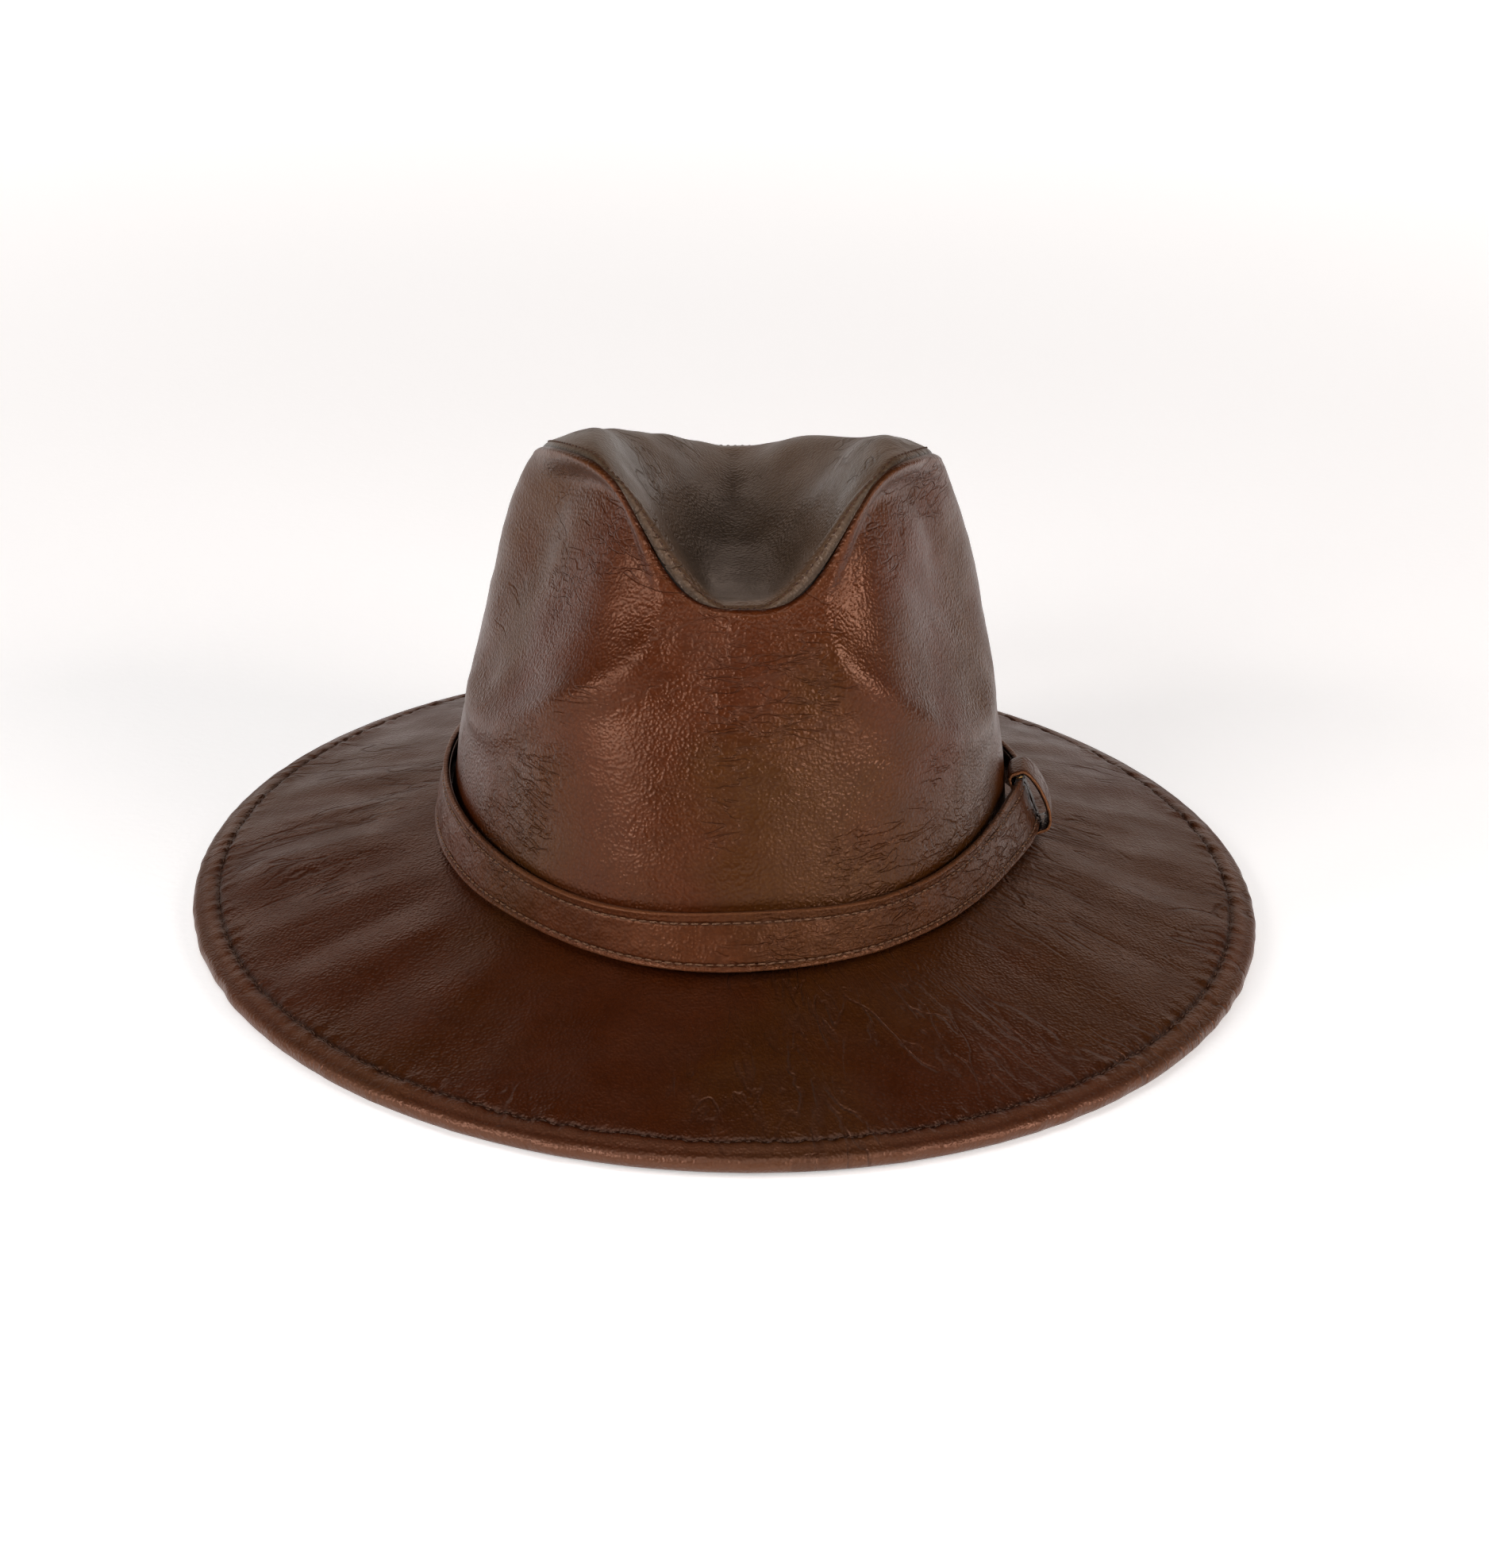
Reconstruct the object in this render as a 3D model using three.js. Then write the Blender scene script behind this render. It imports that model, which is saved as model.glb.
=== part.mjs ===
// A wide-brimmed leather costume hat with a pinched, centre-dented crown, a loose leather hatband and its keeper loop.
// Millimetres, +Z up. The brim's edge lies on the plane Z = 0, the origin is the middle of that edge, and the hat
// faces -Y. The angle "a" runs round the hat from the front: 0 is the front, 90 degrees is +X, 180 is the back.
// A sewn hat is layers of sheet, so each layer is a thin closed solid with about 0.3 mm of air to its neighbours.
import * as THREE from "three";

// ---- driving dimensions -------------------------------------------------------------------------------------------
const HEAD_HALF_WIDTH = 88.3; // crown's outer face at its base, across
const HEAD_HALF_LENGTH = 107.9; // crown's outer face at its base, front to back
const BRIM_WIDTH = 78.5;
const BASE_Z = 26.5; // brim's upper face at the foot of the crown
const EDGE_ROLL = 2.6; // outer radius of the rolled brim edge
const EDGE_LIP = 2.2; // flat part of the turned-under edge
const LEATHER = 1.2;
const AIR = 0.3; // gap between layers
const PADDING = 1.2; // interlining of the crown
const LINING = 0.5;
const SWEATBAND = 1.4;
const STIFFENER = 1.3;
const FOOT = 4.1; // how far the crown's layers reach down, to the brim's underside
const THREAD = 0.4; // radius of a row of stitches
const WIRE = 0.6; // radius of the brim wire

const TIP_HALF_WIDTH = 60; // seam between crown side and tip, seen from above
const TIP_HALF_LENGTH = 78;
const TIP_SHIFT = 2; // the tip's middle lies this far behind the crown's
const CREST = 133; // height of the side crests above the brim
const BACK_DROP = 38; // how far the seam falls from there to the back
const FRONT_DIP = 36.5; // how far the seam dips at the front
const DIP_ANGLE = THREE.MathUtils.degToRad(31.5);
const DENT_WIDTH = 45; // half width of the tip's dent at the front
const DENT_WIDTH_BACK = 21;
const SWELL = 10; // how far the tip would bulge above its rim without its dent
const PINCH_DEPTH = 11.5; // the finger dents at the front corners
const PINCH_ANGLE = 57; // where the middle of each one lies, in degrees
const PINCH_SPREAD = 35; // half width, in degrees
const PINCH_T = 0.74; // the middle and half height, as shares of the crown's side
const PINCH_TALL = 0.42;
const PINCH_LEAN = 26; // how many degrees nearer the front the head of each one lies than its foot, over a whole side

const BAND_HEIGHT = 16.3; // upright; the leaning strap is 16.5 to 18 wide
const BAND_FOOT = 1; // air under the band
const BAND_GAP = 0.45; // air between crown and hatband, at the band's top edge
const CROWN_LEAN = 1; // how far the crown falls back behind the band
const KEEPER_LENGTH = 13;
const KEEPER_ANGLE = THREE.MathUtils.degToRad(88); // the band's two ends meet here, inside the keeper

const STEPS = 48; // facets round the hat
const BAND_STEPS = 60;
const TURN = 2 * Math.PI;
const BACK = Math.PI;
const rad = THREE.MathUtils.degToRad;
const smooth = THREE.MathUtils.smoothstep;
const bell = (x, width) => Math.exp(-((x / width) ** 2));
const steps = (n) => Array.from({ length: n + 1 }, (_, i) => i / n);
const SIDE_LEVELS = [0, 0.13, 0.28, 0.44, 0.6, 0.75, 0.88, 1]; // shared by every layer of the crown's side
const TIP_LEVELS = [0, 0.18, 0.36, 0.54, 0.7, 0.85, 1]; // shared by every layer of the tip
const ringAngles = Array.from({ length: STEPS }, (_, i) => (i / STEPS) * TURN);

// ---- materials ----------------------------------------------------------------------------------------------------
const material = (color, roughness, metalness = 0) =>
  new THREE.MeshStandardMaterial({ color, roughness, metalness });
const leather = material(0x5a2e1c, 0.45);
const darkLeather = material(0x4a2c1e, 0.5);
const blackLeather = material(0x0c0a0a, 0.3);
const lining = material(0x1d1716, 0.8);
const padding = material(0xd8d2c4, 0.95);
const thread = material(0x7a5a3c, 0.8);
const brass = material(0xc9a24a, 0.3, 1);
const steel = material(0x8c8f92, 0.35, 1);
const labelCloth = material(0x2b2320, 0.9);

// ---- shape helpers ------------------------------------------------------------------------------------------------

// Skins a row of closed loops of points. A ring joins its last loop to its first, a strip is capped at both ends
// between the outer and inner half of its loop, and a disc ends in a point at each side. Both skins of a layer split
// their facets along the same diagonal, so that the air between two layers stays even.
function loft(loops, kind, poles = []) {
  const size = loops[0].length;
  const points = loops.flat().concat(poles);
  const index = [];
  const split = (a, b, c, d) => index.push(a, b, c, a, c, d);
  const joins = kind === "ring" ? loops.length : loops.length - 1;
  for (let row = 0; row < joins; row++) {
    const here = row * size;
    const next = ((row + 1) % loops.length) * size;
    for (let i = 0; i < size; i++) {
      const j = (i + 1) % size;
      const isInner = kind === "disc" ? row >= loops.length / 2 : i >= size / 2;
      if (isInner) split(here + j, next + j, next + i, here + i);
      else split(here + i, here + j, next + j, next + i);
    }
  }
  const last = (loops.length - 1) * size;
  if (kind === "strip") {
    for (let i = 0; i < size / 2 - 1; i++) {
      const mate = size - 1 - i;
      split(i, mate, mate - 1, i + 1);
      split(last + i, last + i + 1, last + mate - 1, last + mate);
    }
  }
  if (kind === "disc") {
    const [start, end] = [points.length - 2, points.length - 1];
    for (let i = 0; i < size; i++) {
      const j = (i + 1) % size;
      index.push(start, j, i, end, last + i, last + j);
    }
  }
  const geometry = new THREE.BufferGeometry().setFromPoints(points);
  geometry.setIndex(signedVolume(points, index) < 0 ? index.reverse() : index);
  geometry.computeVertexNormals();
  return geometry;
}

function signedVolume(points, index) {
  let sum = 0;
  for (let i = 0; i < index.length; i += 3) {
    const [a, b, c] = [points[index[i]], points[index[i + 1]], points[index[i + 2]]];
    sum += a.dot(b.clone().cross(c));
  }
  return sum / 6;
}

// A round thread or wire along a closed or open row of points.
function tube(path, radius, sides, kind) {
  const count = path.length;
  const loops = path.map((p, i) => {
    const ahead = kind === "ring" ? path[(i + 1) % count] : path[Math.min(i + 1, count - 1)];
    const behind = kind === "ring" ? path[(i + count - 1) % count] : path[Math.max(i - 1, 0)];
    const along = ahead.clone().sub(behind).normalize();
    const across = new THREE.Vector3(p.x, p.y, 0).normalize();
    across.addScaledVector(along, -across.dot(along)).normalize();
    const up = along.clone().cross(across);
    return Array.from({ length: sides }, (_, k) => {
      const turn = ((k + 0.5) / sides) * TURN;
      return p
        .clone()
        .addScaledVector(across, radius * Math.cos(turn))
        .addScaledVector(up, radius * Math.sin(turn));
    });
  });
  return loft(loops, kind);
}

// ---- crown --------------------------------------------------------------------------------------------------------

// The outward direction of the crown's oval at angle a, in plan.
function outward(a) {
  const n = new THREE.Vector3(Math.sin(a) / HEAD_HALF_WIDTH, -Math.cos(a) / HEAD_HALF_LENGTH, 0);
  return n.normalize();
}

// Angle a brought into -180 to 180 degrees.
const folded = (a) => THREE.MathUtils.euclideanModulo(a + Math.PI, TURN) - Math.PI;

// Height of the tip seam above the brim: the crest falls towards the back, and dips in a V at the front.
function seamHeight(a) {
  const y = TIP_SHIFT - TIP_HALF_LENGTH * Math.cos(a);
  const crest = CREST - BACK_DROP * smooth(y, -60, 92);
  return crest - FRONT_DIP * Math.exp(-(Math.abs(folded(a) / DIP_ANGLE) ** 3.5));
}

// How far the soft crown stands out past its oval near the hatband: full at the left front, tight at the right.
function sway(a) {
  const d = folded(a) / rad(1);
  const right = 1.4 * bell(d - 25, 18) - 1.6 * bell(d - 63, 18) + 2.2 * bell(d - 92, 12);
  return 6.6 * bell(d + 24, 25) + right - 1.2;
}

// A point of the crown's side: t runs from 0 at the brim to 1 at the tip seam, and inset is measured inwards.
function sidePoint(a, t, inset = 0) {
  const height = seamHeight(a);
  const foot = new THREE.Vector3(
    HEAD_HALF_WIDTH * Math.sin(a),
    -HEAD_HALF_LENGTH * Math.cos(a),
    0,
  );
  const seam = new THREE.Vector3(
    TIP_HALF_WIDTH * Math.sin(a),
    TIP_SHIFT - TIP_HALF_LENGTH * Math.cos(a),
    height,
  );
  const side = Math.sin(a) ** 2;
  const low = foot.clone().multiplyScalar(1 - 0.07 * side - 0.035 * (1 - side));
  const high = seam.clone().multiplyScalar(1.15 + 0.09 * side);
  low.z = 0.37 * height;
  high.z = 0.86 * height;
  const p = new THREE.CubicBezierCurve3(foot, low, high, seam).getPoint(t);
  const middle = PINCH_ANGLE - PINCH_LEAN * (t - PINCH_T);
  const across = (Math.abs(folded(a)) / rad(1) - middle) / PINCH_SPREAD;
  const out = Math.hypot(across, (t - PINCH_T) / PINCH_TALL);
  const pinch = PINCH_DEPTH * (1 - smooth(out, 0.1, 1.02)) * (1 - smooth(t, 0.84, 1));
  const stand = sway(a) * smooth(t, 0, 0.12) * (1 - smooth(t, 0.2, 0.85));
  return p.addScaledVector(outward(a), stand - inset - pinch).add(new THREE.Vector3(0, 0, BASE_Z));
}

// Height of the tip above the floor at a plan position: a low dome on its rim, with a dent from front to back that
// narrows towards the back.
function tipHeight(x, y) {
  const a = Math.acos(THREE.MathUtils.clamp((TIP_SHIFT - y) / TIP_HALF_LENGTH, -1, 1));
  const inside = 1 - (x / TIP_HALF_WIDTH) ** 2 - ((y - TIP_SHIFT) / TIP_HALF_LENGTH) ** 2;
  const dome = seamHeight(a) + SWELL * Math.max(0, inside) ** 0.8;
  const half = THREE.MathUtils.lerp(DENT_WIDTH, DENT_WIDTH_BACK, smooth(y, -5, 62));
  const width = Math.min(half, 1.03 * TIP_HALF_WIDTH * Math.sin(a) + 1);
  const valley = Math.min(dome, 91 + 5 * bell(y + 84, 20) + 11 * smooth(y, 0, 62));
  return BASE_Z + valley + (dome - valley) * smooth(Math.abs(x) / width, -0.12, 1);
}

// A point of the tip: r runs from 0 in the middle to 1 at the rim, which lies just inside the crown's side.
function tipPoint(a, r, drop) {
  const rim = sidePoint(a, 1, LEATHER + 2 * AIR);
  const x = rim.x * r;
  const y = TIP_SHIFT + (rim.y - TIP_SHIFT) * r;
  return new THREE.Vector3(x, y, tipHeight(x, y) - drop);
}

// A layer of the crown's side between two insets, up to t = to. Its foot goes straight down inside the brim's inner
// edge, and slit leaves it open at the back seam.
function sideLayer(inner, outer, to, foot, slit = 0) {
  const levels = SIDE_LEVELS.filter((t) => t <= to);
  const skin = (a, inset) => {
    const low = sidePoint(a, 0, inset);
    low.z -= foot;
    return [low, ...levels.map((t) => sidePoint(a, t, inset))];
  };
  const section = (a) => [...skin(a, outer), ...skin(a, inner).reverse()];
  if (!slit) return loft(ringAngles.map(section), "ring");
  const span = TURN - 2 * slit;
  return loft(steps(STEPS).map((s) => section(-BACK + slit + span * s)), "strip");
}

// A layer of the tip between two depths, out to r = reach.
function tipLayer(top, bottom, reach) {
  const levels = TIP_LEVELS.filter((r) => r > 0 && r <= reach);
  const ring = (r, drop) => ringAngles.map((a) => tipPoint(a, r, drop));
  const loops = [...levels.map((r) => ring(r, top)), ...levels.map((r) => ring(r, bottom)).reverse()];
  return loft(loops, "disc", [tipPoint(0, 0, top), tipPoint(0, 0, bottom)]);
}

// ---- brim ---------------------------------------------------------------------------------------------------------

// A point of the brim: s is the distance from the crown, h the height over the brim's upper face.
function brimPoint(a, s, h) {
  const x = (HEAD_HALF_WIDTH + s) * Math.sin(a);
  const y = -(HEAD_HALF_LENGTH + s) * Math.cos(a);
  return new THREE.Vector3(x, y, brimHeight(s) + h);
}

// Height of the brim's upper face above the floor; it falls nearly straight to the middle of the edge roll.
function brimHeight(s) {
  const fall = BASE_Z - 2 * EDGE_ROLL;
  return BASE_Z - fall * Math.min(1, s / (BRIM_WIDTH - EDGE_ROLL)) ** 1.12;
}

// A ring of the brim with the same section, a list of [s, h], all the way round.
const brimRing = (section) => loft(ringAngles.map((a) => section.map(([s, h]) => brimPoint(a, s, h))), "ring");

// A flat layer of the brim between two heights.
function brimLayer(top, bottom, from, to, rows) {
  const levels = steps(rows).map((s) => from + (to - from) * s);
  return brimRing([...levels.map((s) => [s, top]), ...levels.map((s) => [s, bottom]).reverse()]);
}

// The upper leather runs out to the edge, turns under round the wire and ends in a flat lip that meets the floor.
function brimUpper() {
  const centre = BRIM_WIDTH - EDGE_ROLL;
  const lip = centre - EDGE_LIP;
  const levels = steps(4).map((s) => AIR + (centre - AIR) * s);
  const arc = (r) =>
    steps(6)
      .slice(1)
      .map((s) => [centre + r * Math.sin(s * Math.PI), -EDGE_ROLL + r * Math.cos(s * Math.PI)]);
  const outer = [...levels.map((s) => [s, 0]), ...arc(EDGE_ROLL), [lip, -brimHeight(lip)]];
  const inner = [
    ...levels.map((s) => [s, -LEATHER]),
    ...arc(EDGE_ROLL - LEATHER),
    [lip, LEATHER - brimHeight(lip)],
  ];
  return brimRing([...outer, ...inner.reverse()]);
}

// The wire lies in the rolled edge and its two ends meet in the ferrule at the back.
function edgePath(from, to, count) {
  return steps(count).map((s) => brimPoint(from + (to - from) * s, BRIM_WIDTH - EDGE_ROLL, -EDGE_ROLL));
}

function wireFerrule() {
  const reach = rad(1.6);
  const bore = WIRE + AIR * 0.7;
  const wall = 0.35;
  const path = edgePath(BACK - reach, BACK + reach, 2);
  const sides = 10;
  const section = (p, r) =>
    Array.from({ length: sides }, (_, k) => {
      const turn = (k / sides) * TURN;
      return new THREE.Vector3(p.x, p.y + r * Math.cos(turn), p.z + r * Math.sin(turn));
    });
  const outside = path.map((p) => section(p, bore + wall));
  const inside = path.map((p) => section(p, bore)).reverse();
  return loft([...outside, ...inside], "ring");
}

// ---- hatband ------------------------------------------------------------------------------------------------------

// How far the band's inner face stands off the crown's oval at its top and at its bottom edge.
function bandEdges(a) {
  const d = folded(a) / rad(1);
  const top = sway(a) - CROWN_LEAN + BAND_GAP + 1.8 * bell(d - 90, 11);
  const bottom = 0.5 + 7.2 * bell(d + 6, 25) + 1.6 * bell(d + 60, 26) + 8 * bell(d - 90, 17);
  return [top, bottom];
}

// A point of the band: w runs up its height from 0 to 1, out is measured square to its leaning inner face.
function bandPoint(a, w, out) {
  const [top, bottom] = bandEdges(a);
  const p = sidePoint(a, 0).addScaledVector(outward(a), bottom + (top - bottom) * w);
  p.z = BASE_Z + BAND_FOOT + w * BAND_HEIGHT;
  const lean = new THREE.Vector3(0, 0, (bottom - top) / BAND_HEIGHT).add(outward(a)).normalize();
  return p.addScaledVector(lean, out);
}

// The angles from one end of the band to the other, less a margin at each end. They lie closer together in the keeper.
function bandAngles(margin) {
  const span = TURN - 2 * margin;
  const spread = (s) => s - (0.35 * Math.sin(TURN * s)) / TURN;
  return steps(BAND_STEPS).map((s) => KEEPER_ANGLE + margin + span * spread(s));
}

// A layer of the band between two depths, over a share of its height.
function bandStrip(inner, outer, low, high) {
  const section = (a) => [
    bandPoint(a, low, outer),
    bandPoint(a, high, outer),
    bandPoint(a, high, inner),
    bandPoint(a, low, inner),
  ];
  return loft(bandAngles(rad(0.2)).map(section), "strip");
}

function bandStitches(w) {
  const surface = 2 * AIR + LEATHER + LINING + THREAD;
  const path = bandAngles(rad(1)).map((a) => bandPoint(a, w, surface));
  return tube(path, THREAD, 4, "strip");
}

// ---- keeper -------------------------------------------------------------------------------------------------------

// Outline of the keeper's loop at a distance k outside the space it encloses: x is across the band's height,
// y is outwards. The back is flat against the crown and the front is bowed.
function keeperOutline(k) {
  const [low, high, back] = [-9.3 - k, 10 + k, -0.7 - k];
  const corner = 0.9 + k;
  const outline = new THREE.Shape();
  outline.moveTo(low + corner, back);
  outline.lineTo(high - corner, back);
  outline.absarc(high - corner, back + corner, corner, -Math.PI / 2, 0);
  outline.lineTo(high, 2.6);
  outline.bezierCurveTo(high, 5.4 + 1.33 * k, low, 7.9 + 1.33 * k, low, 3);
  outline.lineTo(low, back + corner);
  outline.absarc(low + corner, back + corner, corner, Math.PI, 1.5 * Math.PI);
  return outline;
}

function keeperRing(inner, outer) {
  const shape = keeperOutline(outer);
  shape.holes.push(keeperOutline(inner));
  return new THREE.ExtrudeGeometry(shape, { depth: KEEPER_LENGTH, curveSegments: 7, bevelEnabled: false })
    .translate(0, 0, -KEEPER_LENGTH / 2);
}

// The bent leg of the staple that closes the loop, near its upper corner.
function keeperStaple() {
  const path = new THREE.CatmullRomCurve3([
    new THREE.Vector3(9.45, 0.6, -5.4),
    new THREE.Vector3(9.45, 1.2, -5.9),
    new THREE.Vector3(9.45, 2, -5.9),
    new THREE.Vector3(9.45, 2.6, -5.3),
    new THREE.Vector3(9.45, 2.8, -4.2),
  ]);
  const section = new THREE.Shape().absarc(0, 0, 0.33, 0, TURN);
  return new THREE.ExtrudeGeometry(section, { steps: 10, curveSegments: 8, extrudePath: path });
}

// Places the keeper's own axes on the band: x up the band, y outwards, z along it.
function keeperGroup() {
  const bottom = bandPoint(KEEPER_ANGLE, 0, 0);
  const top = bandPoint(KEEPER_ANGLE, 1, 0);
  const up = top.clone().sub(bottom).normalize();
  const ahead = bandPoint(KEEPER_ANGLE + rad(1), 0.5, 0);
  const along = ahead.sub(bandPoint(KEEPER_ANGLE - rad(1), 0.5, 0)).setZ(0).normalize();
  const out = along.clone().cross(up).normalize();
  const group = new THREE.Group();
  group.matrixAutoUpdate = false;
  group.matrix.makeBasis(up, out, along).setPosition(bottom.add(top).multiplyScalar(0.5));
  return group;
}

// ---- assembly -----------------------------------------------------------------------------------------------------
const hat = new THREE.Group();
function add(name, geometry, finish, parent = hat) {
  const mesh = new THREE.Mesh(geometry, finish);
  mesh.name = name;
  parent.add(mesh);
}

const layer2 = LEATHER + AIR;
const layer3 = layer2 + PADDING + AIR;
const layer4 = layer3 + LINING + AIR;

add("crown_side", sideLayer(LEATHER, 0, 1, FOOT, 0.002), leather);
add("crown_tip", tipLayer(0, LEATHER, 1), darkLeather);
add("crown_side_interlining", sideLayer(layer2 + PADDING, layer2, 0.9, FOOT), padding);
add("crown_tip_interlining", tipLayer(layer2, layer2 + PADDING, 0.85), padding);
add("lining_side", sideLayer(layer3 + LINING, layer3, 0.9, FOOT), lining);
add("lining_tip", tipLayer(layer3, layer3 + LINING, 0.85), lining);
add("sweatband", sideLayer(layer4 + SWEATBAND, layer4, 0.3, FOOT + 1), blackLeather);

const seamRing = (a) => tipPoint(a, 0.96, -THREAD - 2 * AIR);
add("tip_seam_stitching", tube(ringAngles.map(seamRing), THREAD, 4, "ring"), thread);
const backLine = steps(8).map((s) => sidePoint(BACK, 0.17 + 0.79 * s, -THREAD - AIR));
add("back_seam_stitching", tube(backLine, THREAD, 4, "strip"), thread);
const sweatRow = (a) => sidePoint(a, 0.04, layer4 + SWEATBAND + AIR + THREAD);
add("sweatband_stitching", tube(ringAngles.map(sweatRow), THREAD, 4, "ring"), thread);
const label = steps(4).map((s) => {
  const a = BACK + rad(-8) + rad(16) * s;
  const inset = layer4 + SWEATBAND + AIR;
  const rows = [0.08, SIDE_LEVELS[1], 0.21];
  const skin = (depth) => rows.map((t) => sidePoint(a, t, depth));
  return [...skin(inset + 0.4), ...skin(inset).reverse()];
});
add("size_label", loft(label, "strip"), labelCloth);

const stiffTop = -LEATHER - AIR;
const underTop = stiffTop - STIFFENER - AIR;
const hemLine = BRIM_WIDTH - 8;
add("brim_upper", brimUpper(), leather);
add("brim_stiffener", brimLayer(stiffTop, stiffTop - STIFFENER, AIR, hemLine + 2, 4), padding);
add("brim_under", brimLayer(underTop, underTop - 1, AIR, BRIM_WIDTH - EDGE_ROLL - 1.2, 5), leather);
add("brim_wire", tube(edgePath(-BACK + 0.002, BACK - 0.002, STEPS), WIRE, 6, "strip"), steel);
add("wire_ferrule", wireFerrule(), steel);
const hemRow = (a) => brimPoint(a, hemLine, THREAD + AIR);
add("brim_edge_stitching", tube(ringAngles.map(hemRow), THREAD, 4, "ring"), thread);

const bandFace = LINING + AIR;
add("hatband_backing", bandStrip(0, LINING, 0.04, 0.96), blackLeather);
add("hatband_strap", bandStrip(bandFace, bandFace + LEATHER, 0, 1), leather);
add("hatband_stitching_upper", bandStitches(0.81), thread);
add("hatband_stitching_lower", bandStitches(0.13), thread);

const keeper = keeperGroup();
add("keeper_lining", keeperRing(0, 0.35), blackLeather, keeper);
add("keeper_loop", keeperRing(0.6, 1.4), leather, keeper);
add("keeper_staple", keeperStaple(), brass, keeper);
hat.add(keeper);

export default hat;
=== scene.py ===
"""The looks of a wide-brimmed leather costume hat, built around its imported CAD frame.

Shapes are worked out in millimetres in the CAD's own coordinates: the hat faces -Y, +Z is up, and the angle
a runs round the hat from the front (0) over +X (90 degrees) to the back. They are turned into metres when a
mesh is made.
"""

import bpy
import numpy as np
from mathutils import Matrix, Vector


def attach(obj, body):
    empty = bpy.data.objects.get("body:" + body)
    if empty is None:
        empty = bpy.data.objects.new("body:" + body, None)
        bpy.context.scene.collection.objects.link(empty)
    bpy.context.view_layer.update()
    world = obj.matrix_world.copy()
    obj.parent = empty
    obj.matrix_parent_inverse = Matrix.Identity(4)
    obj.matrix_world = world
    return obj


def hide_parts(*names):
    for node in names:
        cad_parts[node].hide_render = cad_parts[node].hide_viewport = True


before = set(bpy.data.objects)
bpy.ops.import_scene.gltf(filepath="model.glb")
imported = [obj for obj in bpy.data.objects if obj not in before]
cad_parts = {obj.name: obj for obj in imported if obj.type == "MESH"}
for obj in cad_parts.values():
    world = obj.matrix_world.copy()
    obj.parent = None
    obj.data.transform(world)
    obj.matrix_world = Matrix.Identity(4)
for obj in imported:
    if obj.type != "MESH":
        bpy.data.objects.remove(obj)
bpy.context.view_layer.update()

MM = 0.001

# ---- the CAD's driving dimensions, in millimetres ----------------
HEAD_X, HEAD_Y = 88.3, 107.9  # half axes of the crown's foot
BRIM_WIDTH, BASE_Z, EDGE_ROLL, EDGE_LIP = 78.5, 26.5, 2.6, 2.2
LEATHER, AIR, PADDING, LINING, SWEATBAND, STIFFENER = 1.2, 0.3, 1.2, 0.5, 1.4, 1.3
TIP_X, TIP_Y, TIP_SHIFT = 60.0, 78.0, 2.0  # half axes of the tip seam, and how far back it lies
CREST, BACK_DROP, FRONT_DIP, DIP_ANGLE = 133.0, 38.0, 36.5, np.radians(31.5)
BAND_HEIGHT, BAND_FOOT, BAND_GAP, CROWN_LEAN = 16.3, 1.0, 0.45, 1.0
FOOT = 4.1  # how far the crown's layers reach down past the brim's upper face
KEEPER_LENGTH = 13.0
KEEPER_ANGLE = np.radians(88)  # the band's two ends meet here
TURN = 2 * np.pi
SIDE_RISE = 128.0  # the crown's side measured along its slope
BACK_RADIUS = 100.0  # of the crown at its back, to turn angles there into distances


def bell(x, width):
    """A smooth bump, 1 at 0 and nearly gone at twice the width."""
    return np.exp(-((x / width) ** 2))


def smooth(x, low, high):
    """A smooth step from 0 at low to 1 at high."""
    u = np.clip((x - low) / (high - low), 0, 1)
    return u * u * (3 - 2 * u)


def folded(a):
    """Angle a brought into -180 to 180 degrees."""
    return (a + np.pi) % TURN - np.pi


def unrolled(a, across, radius, squeeze):
    """A ring laid out as a tube of one radius, so that waves drawn on it run across the ring."""
    return stack(radius * np.sin(a) + 0 * across, radius * np.cos(a) + 0 * across, squeeze * across + 0 * a)


def ripple(points, wavelength, seed, count=28):
    """Soft random waves through space, about -1 to 1, the same each run."""
    rng = np.random.default_rng(seed)
    direction = rng.normal(size=(count, 3))
    direction /= np.linalg.norm(direction, axis=1)[:, None]
    direction *= (TURN / (wavelength * rng.uniform(0.6, 1.7, count)))[:, None]
    phase = rng.uniform(0, TURN, count)
    return np.sin(points @ direction.T + phase).sum(-1) * 1.2 / np.sqrt(count)


def stack(*parts):
    """Coordinates as one array of points."""
    return np.stack(np.broadcast_arrays(*parts), axis=-1)


# ---- meshes ------------------------------------------------------
def make_mesh(name, points, faces, materials, wear_and_painted_shading=None, face_slots=None, flow=None):
    """A smooth-shaded piece of the object from points in millimetres. Faces point outwards.

    The wear amount is 1 where leather is rubbed light, as well as where light is painted on, and -1 where it
    is darkened as painted shade; flow is where its creases are laid out."""
    mesh = bpy.data.meshes.new(name)
    mesh.from_pydata((np.asarray(points, dtype=float) * MM).tolist(), [], faces)
    mesh.validate()
    for material in materials:
        mesh.materials.append(material)
    mesh.polygons.foreach_set("use_smooth", np.ones(len(mesh.polygons), dtype=bool))
    if face_slots is not None:
        mesh.polygons.foreach_set("material_index", np.asarray(face_slots, dtype=np.int32))
    amount = np.zeros(len(mesh.vertices)) if wear_and_painted_shading is None else np.clip(wear_and_painted_shading, -1, 1)
    layer = mesh.attributes.new("wear_and_painted_shading", "FLOAT", "POINT")
    layer.data.foreach_set("value", amount.astype(np.float32))
    grain = np.asarray(points if flow is None else flow, dtype=np.float32) * np.float32(MM)
    layer = mesh.attributes.new("flow", "FLOAT_VECTOR", "POINT")
    layer.data.foreach_set("vector", grain.ravel())
    if signed_volume(mesh) < 0:
        mesh.flip_normals()
    mesh.update()
    piece = bpy.data.objects.new(name, mesh)
    bpy.context.scene.collection.objects.link(piece)
    return piece


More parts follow.
